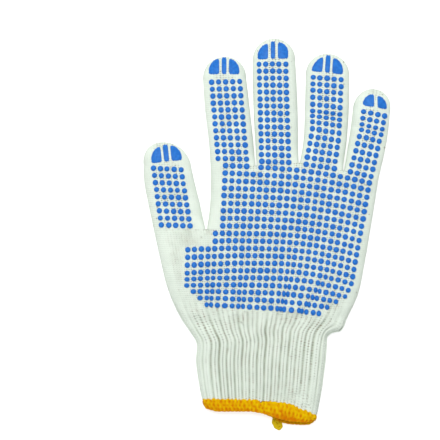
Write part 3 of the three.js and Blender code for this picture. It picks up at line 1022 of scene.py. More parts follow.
@dataclass(frozen=True)
class KnitFinish:
    """White cotton knit: soft yarn with painted shade in the small pores between its stitches and in the
    ribs' furrows.

    A share says how strongly a thing shows. A range is how much a thing changes, and its least.
    Powers are those of the waves across the wales and along the courses: higher makes smaller spots.
    A noise is its lumps to a metre, its finer layers and how strong they are.
    """

    name: str
    yarn: Colour = (0.735, 0.803, 0.712)
    yarn_low: Colour = (0.655, 0.724, 0.632)
    # Painted shade in the pores and the furrows' specks, in two tones; the real dark flecks share these
    # colours.
    pore_shade_and_fleck: Colour = (0.17, 0.185, 0.13)
    brown_pore_shade_and_fleck: Colour = (0.17, 0.125, 0.075)
    # Painted shade in the ribs' furrows.
    furrow: Colour = (0.36, 0.40, 0.315)
    furrow_shade_share: float = 0.42
    pore_shade_share: float = 1.15
    corner_share: float = 0.95
    middle_share: float = 0.45
    chain_share: float = 3.0
    speck_share: float = 1.7
    fleck_share: float = 0.6
    coarse_share: float = 0.45
    corner_powers: Pair = (3.0, 2.0)
    middle_powers: Pair = (4.0, 3.0)
    chain_powers: Pair = (18.0, 5.0)
    speck_powers: Pair = (12.0, 3.0)
    rungs: float = 0.88
    patch_range: Pair = (0.7, 0.4)
    single_range: Pair = (0.8, 0.35)
    stretch_range: Pair = (1.35, 0.25)
    coarse: Mottle = Mottle(90.0, 0.35, 0.65)
    patches: Mottle = Mottle(110.0, 0.36, 0.66, 1.0)
    browned: Mottle = Mottle(240.0, 0.42, 0.6, 1.0)
    flecks: Mottle = Mottle(430.0, 0.815, 0.83, 0.0)
    single: Mottle = Mottle(700.0, 0.38, 0.62, 1.0)
    fine: Mottle = Mottle(1300.0, 0.3, 0.7, 3.0, 0.7)
    fuzz_noise: Triple = (2400.0, 3.0, 0.75)
    fuzz: float = 0.6
    depth: float = 0.26
    strength: float = 0.6
    roughness: float = 0.95
    shine: float = 0.12

    def hand_pore_shade(self, n: Nodes, wale: Socket, course: Socket) -> Socket:
        """Painted shade in the pores between four stitches, and weaker painted shade in the middle of each
        stitch.
        """
        corner = n.spots(wale, course, self.corner_powers, (0.0, -STITCH_SLANT))
        corner = n.times(corner, self.corner_share)
        middle = n.spots(wale, course, self.middle_powers, (0.5, 0.0))
        return n.times_plus(middle, self.middle_share, corner)

    def rib_pore_shade(self, n: Nodes, wale: Socket, course: Socket) -> Socket:
        """Painted shade in a chain of pores along the middle of each rib, and in specks in the furrows beside
        it.
        """
        rib = n.math("DIVIDE", wale, float(RIB_WALES))
        rung = n.times(course, self.rungs)
        chain = n.spots(rib, rung, self.chain_powers)
        specks = n.spots(rib, rung, self.speck_powers, (0.5, 0.5))
        return n.times_plus(specks, self.speck_share, n.times(chain, self.chain_share))

    def openness(self, n: Nodes) -> Socket:
        """How open the pores are: more in the stretched middle than at the edges, and uneven."""
        patches = n.times_plus(n.mottle(self.patches), *self.patch_range)
        single = n.times_plus(n.mottle(self.single), *self.single_range)
        stretched = n.times_plus(n.attribute("open"), *self.stretch_range)
        return n.times(n.times(patches, single), stretched)

    def yarn_colour(self, n: Nodes) -> Socket:
        """The yarn's two tones, in coarse patches and fine fibres, with painted shade in the furrows."""
        fine_part = n.times(n.mottle(self.fine), 1.0 - self.coarse_share)
        tone = n.times_plus(n.mottle(self.coarse), self.coarse_share, fine_part)
        yarn = n.blend(tone, self.yarn_low, self.yarn)
        # Painted shade, as strong as the point lies deep in a furrow.
        return n.blend(n.times(n.attribute("painted_shade"), self.furrow_shade_share), yarn, self.furrow)

    def stitch_bump(self, n: Nodes, wale: Socket, course: Socket) -> Socket:
        """The height of the two legs of each stitch, with fuzz on them."""
        place = n.math("ABSOLUTE", n.math("SUBTRACT", n.math("FRACT", wale), 0.5))
        turned = n.math("SUBTRACT", course, n.times(place, 2.0 * STITCH_SLANT))
        turn = n.times_plus(place, 2.0 * CROWN_WIDTH * math.pi, CROWN_START * math.pi)
        fuzz = n.times(n.noise(*self.fuzz_noise), self.fuzz)
        return n.times_plus(n.math("SINE", turn), n.wave(turned, 1.0, 0.5), fuzz)

    def build(self) -> Material:
        """Makes the material: yarn darkened by painted shade in its pores and furrows and by a few real dark
        flecks, with a bump of stitches.

        Returns:
            The material.
        """
        n = Nodes(self.name)
        wale, course = n.stitch()
        ribbed = n.attribute("ribbed")
        hand = n.times(self.hand_pore_shade(n, wale, course), n.math("SUBTRACT", 1.0, ribbed))
        # Painted shade in the pores: on the hand, and along the ribs where it is ribbed.
        pores = n.times_plus(self.rib_pore_shade(n, wale, course), ribbed, hand)
        share = n.times(n.times(pores, self.openness(n)), self.pore_shade_share)
        fleck = n.times(n.mottle(self.flecks), self.fleck_share)
        # The painted shade's colour, which the real flecks share.
        dark = n.blend(n.mottle(self.browned), self.pore_shade_and_fleck, self.brown_pore_shade_and_fleck)
        n.colour(n.blend(n.math("MAXIMUM", share, fleck), self.yarn_colour(n), dark))
        n.even("Roughness", self.roughness)
        n.even("Specular IOR Level", self.shine)
        n.bump(self.stitch_bump(n, wale, course), self.depth, self.strength)
        return n.material


@dataclass(frozen=True)
class PvcFinish:
    """Soft blue PVC, printed on as a paste and cured."""

    name: str
    blue: Colour = (0.014, 0.165, 0.56)
    blue_low: Colour = (0.005, 0.105, 0.42)
    mottle: Mottle = Mottle(620.0, 0.3, 0.7, 3.0, 0.7)
    rough_range: Pair = (0.2, 0.4)
    rough_noise: Pair = (900.0, 2.0)
    skin_noise: Triple = (1100.0, 3.0, 0.6)
    shine: float = 0.22
    depth: float = 0.22
    strength: float = 0.7

    def build(self) -> Material:
        """Makes the material: a slightly mottled blue with a fine uneven skin.

        Returns:
            The material.
        """
        n = Nodes(self.name)
        n.colour(n.blend(n.mottle(self.mottle), self.blue_low, self.blue))
        n.even("Specular IOR Level", self.shine)
        rough = n.times_plus(n.noise(*self.rough_noise), *self.rough_range)
        n.join(rough, n.shader.inputs["Roughness"])
        n.bump(n.noise(*self.skin_noise), self.depth, self.strength)
        return n.material


@dataclass(frozen=True)
class YarnFinish:
    """Yellow overlock yarn, turned orange by painted shade in its hollows and where it is turned under."""

    name: str
    # The yarn lit, and the orange it has in painted shade.
    light: Colour = (0.72, 0.51, 0.0)
    deep: Colour = (0.55, 0.165, 0.0)
    uneven: float = 0.7
    uneven_noise: Pair = (500.0, 2.0)
    fibre_noise: Triple = (2400.0, 3.0, 0.7)
    roughness: float = 0.9
    shine: float = 0.06
    depth: float = 0.18
    strength: float = 0.8

    def build(self) -> Material:
        """Makes the material: yellow turning orange with the mesh's painted shade attribute, with fine
        fibres.

        Returns:
            The material.
        """
        n = Nodes(self.name)
        patches = n.times_plus(n.noise(*self.uneven_noise), self.uneven, -self.uneven / 2.0)
        # Painted shade from the mesh, with uneven patches of tone.
        n.colour(n.blend(n.math("ADD", n.attribute("painted_shade"), patches), self.light, self.deep))
        n.even("Roughness", self.roughness)
        n.even("Specular IOR Level", self.shine)
        n.bump(n.noise(*self.fibre_noise), self.depth, self.strength)
        return n.material


@dataclass(frozen=True)
class PaperFinish:
    """The plain pale surface that the glove lies on, softly lit from below."""

    name: str
    shade: float = 0.6
    grain: float = 0.01
    grain_scale: float = 6.0
    glow: float = 0.6
    roughness: float = 0.9
    shine: float = 0.1

    def build(self) -> Material:
        """Makes the material: an even pale surface with a faint grain.

        Returns:
            The material.
        """
        n = Nodes(self.name)
        low, high = (self.shade - self.grain,) * 3, (self.shade + self.grain,) * 3
        n.colour(n.blend(n.noise(self.grain_scale), low, high))
        n.even("Roughness", self.roughness)
        n.even("Specular IOR Level", self.shine)
        n.even("Emission Color", (1.0, 1.0, 1.0, 1.0))
        n.even("Emission Strength", self.glow)
        return n.material


def dress(thing: Piece, finish: Material, replaced: Sequence[str] = ()) -> Piece:
    """Gives a piece its finish and joins it to the frame.

    Args:
        thing: The piece.
        finish: Its material.
        replaced: The frame's nodes that it stands for.

    Returns:
        The piece.
    """
    thing.data.materials.append(finish)
    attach(thing, BODY)
    if replaced:
        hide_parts(*replaced)
    triangles = sum(len(p.vertices) - 2 for p in thing.data.polygons)
    LOG.info("%s: %d triangles", thing.name, triangles)
    return thing


@dataclass(frozen=True)
class Span:
    """A stretch across the glove: its width, its wales, and which of its sides round off."""

    width: float
    wales: int
    round_left: bool
    round_right: bool

    def places(self, samples: int, width: Array | None = None) -> Array:
        """Where the wales' samples lie across, evenly spaced along the cloth.

        On a rounded side the place is that of round_place. Elsewhere it grows evenly.

        Args:
            samples: Samples for each wale.
            width: Widths, one for each row, in place of the span's own.

        Returns:
            The places, in millimetres from the left, with the samples in the last axis.
        """
        width = np.atleast_1d(self.width if width is None else width)[:, None]
        across = np.minimum(TOP_ROUNDING, width / 2.0)
        length = round_length(across)
        extra = length - across
        total = width + (self.round_left + self.round_right) * extra
        s = np.linspace(0.0, 1.0, self.wales * samples + 1) * total
        place = s - extra * self.round_left
        if self.round_left:
            place = np.where(s < length, round_place(s, across, length), place)
        if self.round_right:
            rest = total - s
            place = np.where(rest < length, width - round_place(rest, across, length), place)
        return place


def row_of_spans(spans: Sequence[Span], samples: int) -> Array:
    """The places of neighbouring spans' samples, as shares of their whole width.

    Args:
        spans: The spans from left to right.
        samples: Samples for each wale.

    Returns:
        The shares, from 0 to 1.
    """
    starts = np.cumsum([0.0, *(span.width for span in spans)])
    parts = [start + span.places(samples)[0][:-1] for start, span in zip(starts, spans)]
    return np.append(np.concatenate(parts), starts[-1]) / starts[-1]


@dataclass(frozen=True)
class Stitch:
    """The relief of a knitted stitch, whose two legs make a V.

    Foot is the share of its height that a leg keeps where it's lowest.
    """

    amount: float = 0.34
    foot: float = 0.3
    uneven: float = 0.3
    own_waves: Triples = ((2.4, 5.1, 0.0), (3.7, -1.9, 0.0))

    def height(self, wale: Array, course: Array) -> Array:
        """Height of the stitches over the cloth's lowest level.

        m is 0 in the middle of a wale and 1 at its sides. Each leg is a ridge where m is near a
        half, and rises and falls once a course along course - slant * m. Crossed waves make
        some stitches higher than others.

        Args:
            wale: Places across, counted in wales.
            course: Places up, counted in courses.

        Returns:
            The heights, from 0 to the amount.
        """
        m = 2.0 * np.abs(wale - np.floor(wale) - 0.5)
        crown = np.sin(np.pi * (CROWN_WIDTH * m + CROWN_START))
        leg = 0.5 - 0.5 * np.cos(2.0 * np.pi * (course - STITCH_SLANT * m))
        own = crossed_waves(self.own_waves, wale, course)
        return self.amount * crown * (self.foot + (1.0 - self.foot) * leg) * (1.0 + self.uneven * own)


@dataclass(frozen=True)
class Ribs:
    """The cuff's ribs: crests three wales wide with furrows between them, fading over the hand."""

    crest: float = 0.35
    groove: float = 0.7
    flank: float = 0.26
    split: float = 0.16
    split_from: float = 0.38
    split_over: float = 0.1
    near_fade: float = 24.0
    far_fade: float = 37.0
    near_share: float = 0.6
    depth_waves: Triples = ((0.22, 2.1, 0.6), (0.16, 5.3, 2.0))
    waver_amount: float = 0.28
    waver_lengths: Pair = (5.5, 9.0)
    waver_turns: Pair = (2.4, 1.7)

    def strength(self, above_waist: Array) -> Array:
        """How strong the ribs are at a height above the waist: 1 in the cuff, 0 far up."""
        near = 1.0 - smooth(above_waist / self.near_fade)
        far = 1.0 - smooth(above_waist / self.far_fade)
        return self.near_share * near + (1.0 - self.near_share) * far

    def shape(self, wale: Array) -> Array:
        """0 in the middle of a furrow and 1 on a crest, whose middle is split by a shallow groove."""
        part = wale / RIB_WALES + 0.5
        nearness = 0.5 - np.abs(part - np.floor(part) - 0.5)
        split = smooth((nearness - self.split_from) / self.split_over)
        return smooth(nearness / self.flank) - self.split * split

    def vary(self, wale: Array) -> Array:
        """How deep each furrow is beside the others, from two slow waves across."""
        return with_waves(1.0, self.depth_waves, wale / RIB_WALES)

    def waver(self, wale: Array, y: Array) -> Array:
        """How much deeper or shallower a furrow gets along its way, as a slow wave of its own."""
        part = np.floor(wale / RIB_WALES)
        short, long = self.waver_lengths
        rise, fall = self.waver_turns
        return 1.0 + self.waver_amount * np.sin(y / short + rise * part) * np.cos(y / long - fall * part)


@dataclass
class KnitTube:
    """One knitted section of the glove: a hollow wall that is open at its ends, or closed at a tip.

    Subclasses say where their columns and rows lie.
    """

    name: str
    cloth: Cloth
    plan: BandPlan | FingerPlan
    wales: int
    top_samples: int = 4
    under_samples: int = 2
    row_samples: int = 3
    line_places: int = 400
    seam_step: float = 0.05
    inner_rows: int = 9
    tight_edge: float = 5.0
    stitch: Stitch = Stitch()
    ribs: Ribs = Ribs()
    last_v: float = 1.0

    @property
    def closed(self) -> bool:
        """Whether the section ends in a closed tip."""
        return self.last_v > 1.0

    def columns(self, v: Array, samples: int) -> Array:
        """Shares across of each row's columns: the wales spread evenly over both rounded sides."""
        width = self.plan.width(v)
        span = Span(float(width[0]), self.wales, True, True)
        return span.places(samples, width) / width[:, None]

    def upper_count(self) -> int:
        """How many of a ring's places lie on the upper side."""
        return self.wales * self.top_samples + 1

    def shares(self, v: Array) -> Array:
        """Shares across of the places round each row: to the right on top, and back underneath."""
        upper = self.columns(v, self.top_samples)
        lower = self.columns(v, self.under_samples)[:, ::-1][:, 1:-1]
        return np.concatenate([upper, lower], axis=1)

    def ring_wales(self) -> Array:
        """The places round a ring, counted in wales."""
        upper = np.linspace(0.0, self.wales, self.upper_count())
        lower = np.linspace(self.wales, 2.0 * self.wales, self.wales * self.under_samples + 1)
        return np.concatenate([upper, lower[1:-1]])

    def rib_strength(self, shares: Array, v: Array) -> Array:
        """How strong the cuff's ribs are at each point."""
        return np.zeros_like(shares)

    def fade(self, shares: Array, v: Array) -> Array:
        """How much of the stitches' relief is left at each point, from 0 to 1."""
        return np.ones_like(shares)

    def levels(self) -> tuple[Array, Array]:
        """Rows evenly spaced along the section's middle line.

        One more row close to either end gives neighbouring sections the same slope where they meet.

        Returns:
            The rows' v, and their places counted in courses.
        """
        fine = np.linspace(0.0, 1.0, self.line_places)
        length = running_length(self.plan.at(0.5, fine))
        count = round(float(length[-1]) / COURSE)
        near = self.seam_step / float(length[-1])
        target = np.linspace(0.0, 1.0, count * self.row_samples + 1)
        target = np.insert(target, [1, -1], [near, 1.0 - near])
        return np.interp(target * length[-1], length, fine), target * count

    def inner_levels(self) -> Array:
        """The rows of the inside."""
        return np.linspace(0.0, 1.0, self.inner_rows)

    def shell(self, v: Array, inset: float) -> Array:
        """Rings of the surface: over the upper side from left to right, and back under the lower.

        Args:
            v: The rows.
            inset: Depth inside the wall.

        Returns:
            The points, rows by places round by x, y and z.
        """
        plan = self.plan.at(self.shares(v), v[:, None], inset)
        x, y = plan[..., 0], plan[..., 1]
        edge = self.cloth.edge_height(x, y)
        top, under = self.cloth.heights(x, y, inset)
        if inset > 0.0:
            outer_top, outer_under = self.cloth.heights(x, y)
            thin = WALL * THIN_WALL_SHARE
            least, most = edge - LEAST_HOLLOW, edge + LEAST_HOLLOW
            top = np.clip(top, most, np.maximum(outer_top - thin, most))
            under = np.clip(under, np.minimum(outer_under + thin, least), least)
        upper = self.upper_count()
        height = np.where(np.arange(x.shape[1]) < upper, top, under)
        height[:, [0, upper - 1]] = edge[:, [0, upper - 1]]
        if self.closed:
            height[-1] = EDGE_HEIGHT
        return np.stack([x, y, height], axis=-1)

    def knit_relief(self, shell: Array, v: Array, courses: Array) -> tuple[Array, dict[str, Array]]:
        """Moves the shell's points by the stitches' and ribs' relief along its normals.

        The normal is the cross product of the steps along the ring and up the rows. On the side
        that the glove lies on, the relief only sinks in.

        Args:
            shell: The plain shell.
            v: Its rows.
            courses: Its rows counted in courses.

        Returns:
            The moved points, and how ribbed and how open each is, and how much painted shade its furrow gets.
        """
        wale = self.ring_wales()
        along = np.roll(shell, -1, axis=1) - np.roll(shell, 1, axis=1)
        normal = one_long(np.cross(along, np.gradient(shell, axis=0)))
        shares = self.shares(v)
        kept = self.fade(shares, v[:, None])
        lying = smooth((EDGE_HEIGHT - shell[..., 2]) / EDGE_HEIGHT)
        amount = self.stitch.amount
        lift = self.stitch.height(wale[None, :], courses[:, None]) - 0.5 * amount * (1.0 + lying)
        ribbed = self.rib_strength(shares, v[:, None])
        strength = ribbed * self.ribs.vary(wale)[None, :] * self.ribs.waver(wale[None, :], shell[..., 1])
        shape = self.ribs.shape(wale)[None, :]
        crest = self.ribs.crest * (1.0 - lying)
        lift = lift * kept + strength * (shape * (crest + self.ribs.groove) - self.ribs.groove)
        away = np.minimum(shares, 1.0 - shares) * self.plan.width(v)[:, None]
        marks = {
            "ribbed": ribbed,
            # How much painted shade a point gets, by how deep it lies in a furrow.
            "painted_shade": strength * (1.0 - shape),
            "open": smooth((away - self.tight_edge) / self.tight_edge),
        }
        return shell + normal * lift[..., None], marks

    def surface(self) -> Surface:
        """The whole wall: the outside, the inside and the ends that join them.

        Returns:
            The surface, with its stitch map, furrows and rims.
        """
        v, courses = self.levels()
        outer, marks = self.knit_relief(self.shell(v, 0.0), v, courses)
        inner_v = self.inner_levels()
        inner = self.shell(inner_v, WALL)
        points = np.concatenate([outer, inner])
        index = np.arange(points[..., 0].size).reshape(points.shape[:2])
        outer_index, inner_index = index[: len(outer)], index[len(outer):]
        inner_courses = inner_v / self.last_v * courses[-1]
        blocks = [
            (outer_index, courses),
            (inner_index[::-1], inner_courses[::-1]),
            (np.vstack([inner_index[0], outer_index[0]]), courses[:2]),
        ]
        if not self.closed:
            blocks.append((np.vstack([outer_index[-1], inner_index[-1]]), courses[:2]))
        faces = np.vstack([grid_faces(rows, wrap_columns=True) for rows, _ in blocks])
        uv = []
        for _, up in blocks:
            wale, course = np.broadcast_arrays(self.ring_wales(), up[:, None])
            uv.append(np.stack([ring_corners(wale, 2.0 * self.wales), ring_corners(course, 0.0)], axis=-1))
        marks["rim"] = np.zeros(outer.shape[:2])
        marks["rim"][[0] if self.closed else [0, -1]] = 1.0
        plain = np.zeros(inner_index.size)
        marks = {key: np.append(values, plain) for key, values in marks.items()}
        return Surface(points.reshape(-1, 3), faces, np.concatenate(uv), marks)

    def build(self, finish: Material) -> Piece:
        """Makes the section and gives it its finish, in place of the frame's node."""
        thing = self.surface().to_object(f"{self.name}_knit", weld=self.closed)
        return dress(thing, finish, (self.name,))


@dataclass
class RibbedCuff(KnitTube):
    """The elastic cuff, ribbed over its whole length but for a corner by the mouth's right end.

    The corner is so stretched that its ribs are nearly flat.
    """

    flattened: float = 0.68
    corner_across: Ramp = (0.4, 0.45)
    corner_down: Ramp = (0.62, -0.5)

    def rib_strength(self, shares: Array, v: Array) -> Array:
        """Full strength, but for the flattened corner."""
        return 1.0 - self.flattened * ramp(shares, self.corner_across) * ramp(v, self.corner_down)


@dataclass
class LowerHand(KnitTube):
    """The hand below the thumb's crotch, gathered at the waist."""

    end_spans: tuple[Span, ...] = ()

    def columns(self, v: Array, samples: int) -> Array:
        """Shares across, which turn from the cuff's columns into those of the thumb and palm."""
        own = super().columns(v, samples)
        end = row_of_spans(self.end_spans, samples)
        return turning(own, end, v)

    def rib_strength(self, shares: Array, v: Array) -> Array:
        """The ribs' strength, which fades with the height above the waist."""
        start = self.plan.at(0.5, np.array(0.0))[1]
        above = self.plan.at(0.5, v)[..., 1] - start
        return self.ribs.strength(above) * np.ones_like(shares)


@dataclass
class UpperHand(KnitTube):
    """The palm between the thumb's crotch and the fingers."""

    start_spans: tuple[Span, ...] = ()
    end_spans: tuple[Span, ...] = ()

    def columns(self, v: Array, samples: int) -> Array:
        """Shares across, which turn from the lower hand's columns into the fingers'."""
        start = row_of_spans(self.start_spans, samples)
        end = row_of_spans(self.end_spans, samples)
        return turning(start, end, v)


@dataclass
class Digit(KnitTube):
    """A finger or the thumb, closed at its tip."""

    plan: FingerPlan
    last_v: float = 2.0
    settle: float = 0.35
    fade_from: float = 0.86
    edge_fade: float = 0.09
    tip_rows: tuple[float, ...] = (1.25, 1.5, 1.7, 1.86, 1.95, 2.0)

    def columns(self, v: Array, samples: int) -> Array:
        """Shares across, which turn from the hand's columns at the base into the digit's own."""
        own = super().columns(np.minimum(v, 1.0), samples)
        plan = self.plan.plan
        width = float(self.plan.width(np.array([0.0]))[0])
        base = Span(width, self.wales, plan.round_left, plan.round_right)
        start = base.places(samples) / width
        return turning(start, own, v / self.settle)

    def fade(self, shares: Array, v: Array) -> Array:
        """The stitches' relief, which dies out where the rows run together beside the tip."""
        shape = tip_shape(2.0 * shares - 1.0)
        beside = smooth((v - self.fade_from) / (1.0 - self.fade_from))
        kept = 1.0 - (1.0 - shape) * beside
        return kept * smooth((2.0 - v) / self.edge_fade)

    def levels(self) -> tuple[Array, Array]:
        """Rows up the digit, and over its tip along the quarter round of its edge.

        Returns:
            The rows' v, and their places counted in courses.
        """
        v, courses = super().levels()
        reach = self.plan.reach()
        across = min(TOP_ROUNDING, reach)
        length = float(round_length(across))
        total = reach - across + length
        count = round(total / COURSE)
        s = np.linspace(1.0, 0.0, count * self.row_samples + 1)[1:] * total
        from_edge = np.where(s < length, round_place(s, across, length), s - length + across)
        over = 2.0 - from_edge / reach
        steps = np.arange(1, count * self.row_samples + 1) / self.row_samples
        return np.append(v, over), np.append(courses, courses[-1] + steps)

    def inner_levels(self) -> Array:
        """The rows of the inside, closer together towards the tip."""
        return np.append(super().inner_levels(), self.tip_rows)


@dataclass
class FilmPrint:
    """One of the PVC films on a fingertip: a stripe, or a quarter round beside it."""

    layout: FilmLayout
    cloth: Cloth
    side: int
    across_steps: int = 26
    along_steps: int = 34
    lift: float = 0.02
    thickness: float = 0.42
    edge: float = 0.55
    tooth: float = 0.3
    tooth_pitch: float = 1.5
    tooth_reach: float = 0.6
    side_tooth: float = 0.6
    even_share: float = 0.6
    slow_rates: Pair = (1.3, 1.7)
    rounding: float = 0.5
    rounding_reach: float = 0.65
    stitch_print: float = 0.08
    set_in: float = 0.35

    def print_wave(self, place: Array, pitch: float) -> Array:
        """A sine wave of that pitch, as the stitches below print through."""
        return np.sin(2.0 * np.pi * place / pitch)

    def teeth(self, place: Array, rate: float) -> Array:
        """A row of teeth, some higher than others by a slower sine wave of that rate."""
        return self.print_wave(place, self.tooth_pitch) * (
            self.even_share + (1.0 - self.even_share) * np.sin(rate * place)
        )

    def plan(self) -> tuple[Array, Array]:
        """Points of the film's plan, and how far each is from the film's nearest edge.

        Across, a runs from 0 to 1. The film's height there is all of it on the stripe, and
        low + (1 - low) * (1 - a^p)^(1/p) of it beside the stripe. Its corners are drawn in by an
        exponential of the distance to them, which rounds them off, and all its edges are toothed
        by the stitches under them, in sine waves.

        Returns:
            The points with x and y in the last axis, and the distances.
        """
        layout = self.layout
        a, b = np.meshgrid(cosine_steps(self.across_steps), cosine_steps(self.along_steps), indexing="ij")
        if self.side == 0:
            width, tall = layout.stripe, layout.height * np.ones_like(a)
            sideways = width * (a - 0.5)
        else:
            part = layout.left if self.side < 0 else layout.right
            width = part.width
            curve = np.maximum(1.0 - a**part.power, 0.0) ** (1.0 / part.power)
            tall = part.height * (part.low + (1.0 - part.low) * curve)
            sideways = self.side * (layout.stripe / 2.0 + layout.gap + width * a)
        along = tall * b - layout.slant * sideways
        wave_along = self.teeth(along, self.slow_rates[0])
        wave_across = self.teeth(sideways, self.slow_rates[1])
        inward = np.minimum(a, 1.0 - a) * width
        upward = np.minimum(b, 1.0 - b) * tall
        drawn_in = self.rounding * np.exp(-(inward + upward) / self.rounding_reach)
        drawn_in *= 1.0 - abs(self.side) * a * b
        outwards = np.sign(a - 0.5) * (self.side or 1)
        side_teeth = self.side_tooth * self.tooth * wave_along * np.exp(-inward / self.tooth_reach)
        sideways = sideways + side_teeth * np.sign(a - 0.5) - drawn_in * outwards
        end_teeth = self.tooth * wave_across * np.exp(-upward / self.tooth_reach)
        along = along + end_teeth * np.sign(0.5 - b) - drawn_in * np.sign(b - 0.5)
        lean = math.radians(layout.lean)
        x = layout.foot[0] + sideways * math.cos(lean) + along * math.sin(lean)
        y = layout.foot[1] - sideways * math.sin(lean) + along * math.cos(lean)
        return np.stack([x, y], axis=-1), np.minimum(inward, upward)

    def surface(self) -> Surface:
        """The film: an upper skin with a rounded edge over a lower one that lies in the knit.

        The skin's height over the cloth is a quarter round of the distance to the nearest edge,
        with a faint print of the stitches below in sine waves.

        Returns:
            The closed surface.
        """
        plan, inward = self.plan()
        x, y = plan[..., 0], plan[..., 1]
        base, normal = self.cloth.top_frame(x, y)
        ripple = self.stitch_print * self.print_wave(x, self.tooth_pitch) * self.print_wave(y, COURSE)
        rise = round_up(inward / self.edge)
        upper = base + normal * (self.lift + rise * (self.thickness + ripple))[..., None]
        lower = base - normal * self.set_in
        top_index = np.arange(x.size).reshape(x.shape)
        low_index = top_index + x.size
        loop = np.concatenate([
            top_index[:, 0], top_index[-1, 1:], top_index[::-1, -1][1:], top_index[0, ::-1][1:-1]
        ])
        wall = grid_faces(np.vstack([loop, loop + x.size]), wrap_columns=True)
        faces = np.vstack([grid_faces(top_index.T), grid_faces(low_index), wall])
        points = np.concatenate([upper.reshape(-1, 3), lower.reshape(-1, 3)])
        return Surface(points, faces[:, ::-1] if self.side < 0 else faces)


@dataclass(frozen=True)
class DotRow:
    """A row of dots: its number, the place of its column 0, and how it goes on from there.

    Column c lies at x + pitch * c and y + slope * c + bend * c^2. Left of column 0 the pitch is
    the left one, and only a share of the bend is left.
    """

    number: float
    x: float
    y: float
    pitch: float
    slope: float
    bend: float = 0.0
    left_pitch: float = 0.0

    @classmethod
    def between(cls, number: float, left: Pair, right: Pair, steps: int = 4) -> "DotRow":
        """A straight row of that number, from its first dot to its last in that many steps."""
        return cls(number, *left, (right[0] - left[0]) / steps, (right[1] - left[1]) / steps)


@dataclass(frozen=True)
class Squeeze:
    """Where the cloth's gathers or creases draw dots together, across or along the rows.

    Path gives pairs of a row and the column that the squeeze is at there. Where it's along the
    rows instead, the pair's second number is the row that it's at.
    """

    path: tuple[Pair, ...]
    reach: float
    pull: float
    across: bool = True
    grows_from: float = 0.0
    grows_over: float = 0.0

    def shift(self, place: Array, row: Array) -> Array:
        """How far a dot moves: -pull * s * exp(-s^2), where s is its place from the middle."""
        rows, middles = np.array(self.path).T
        s = (place - np.interp(row, rows, middles)) / self.reach
        growth = smooth((row - self.grows_from) / self.grows_over) if self.grows_over else 1.0
        return -self.pull * s * np.exp(-(s**2)) * growth


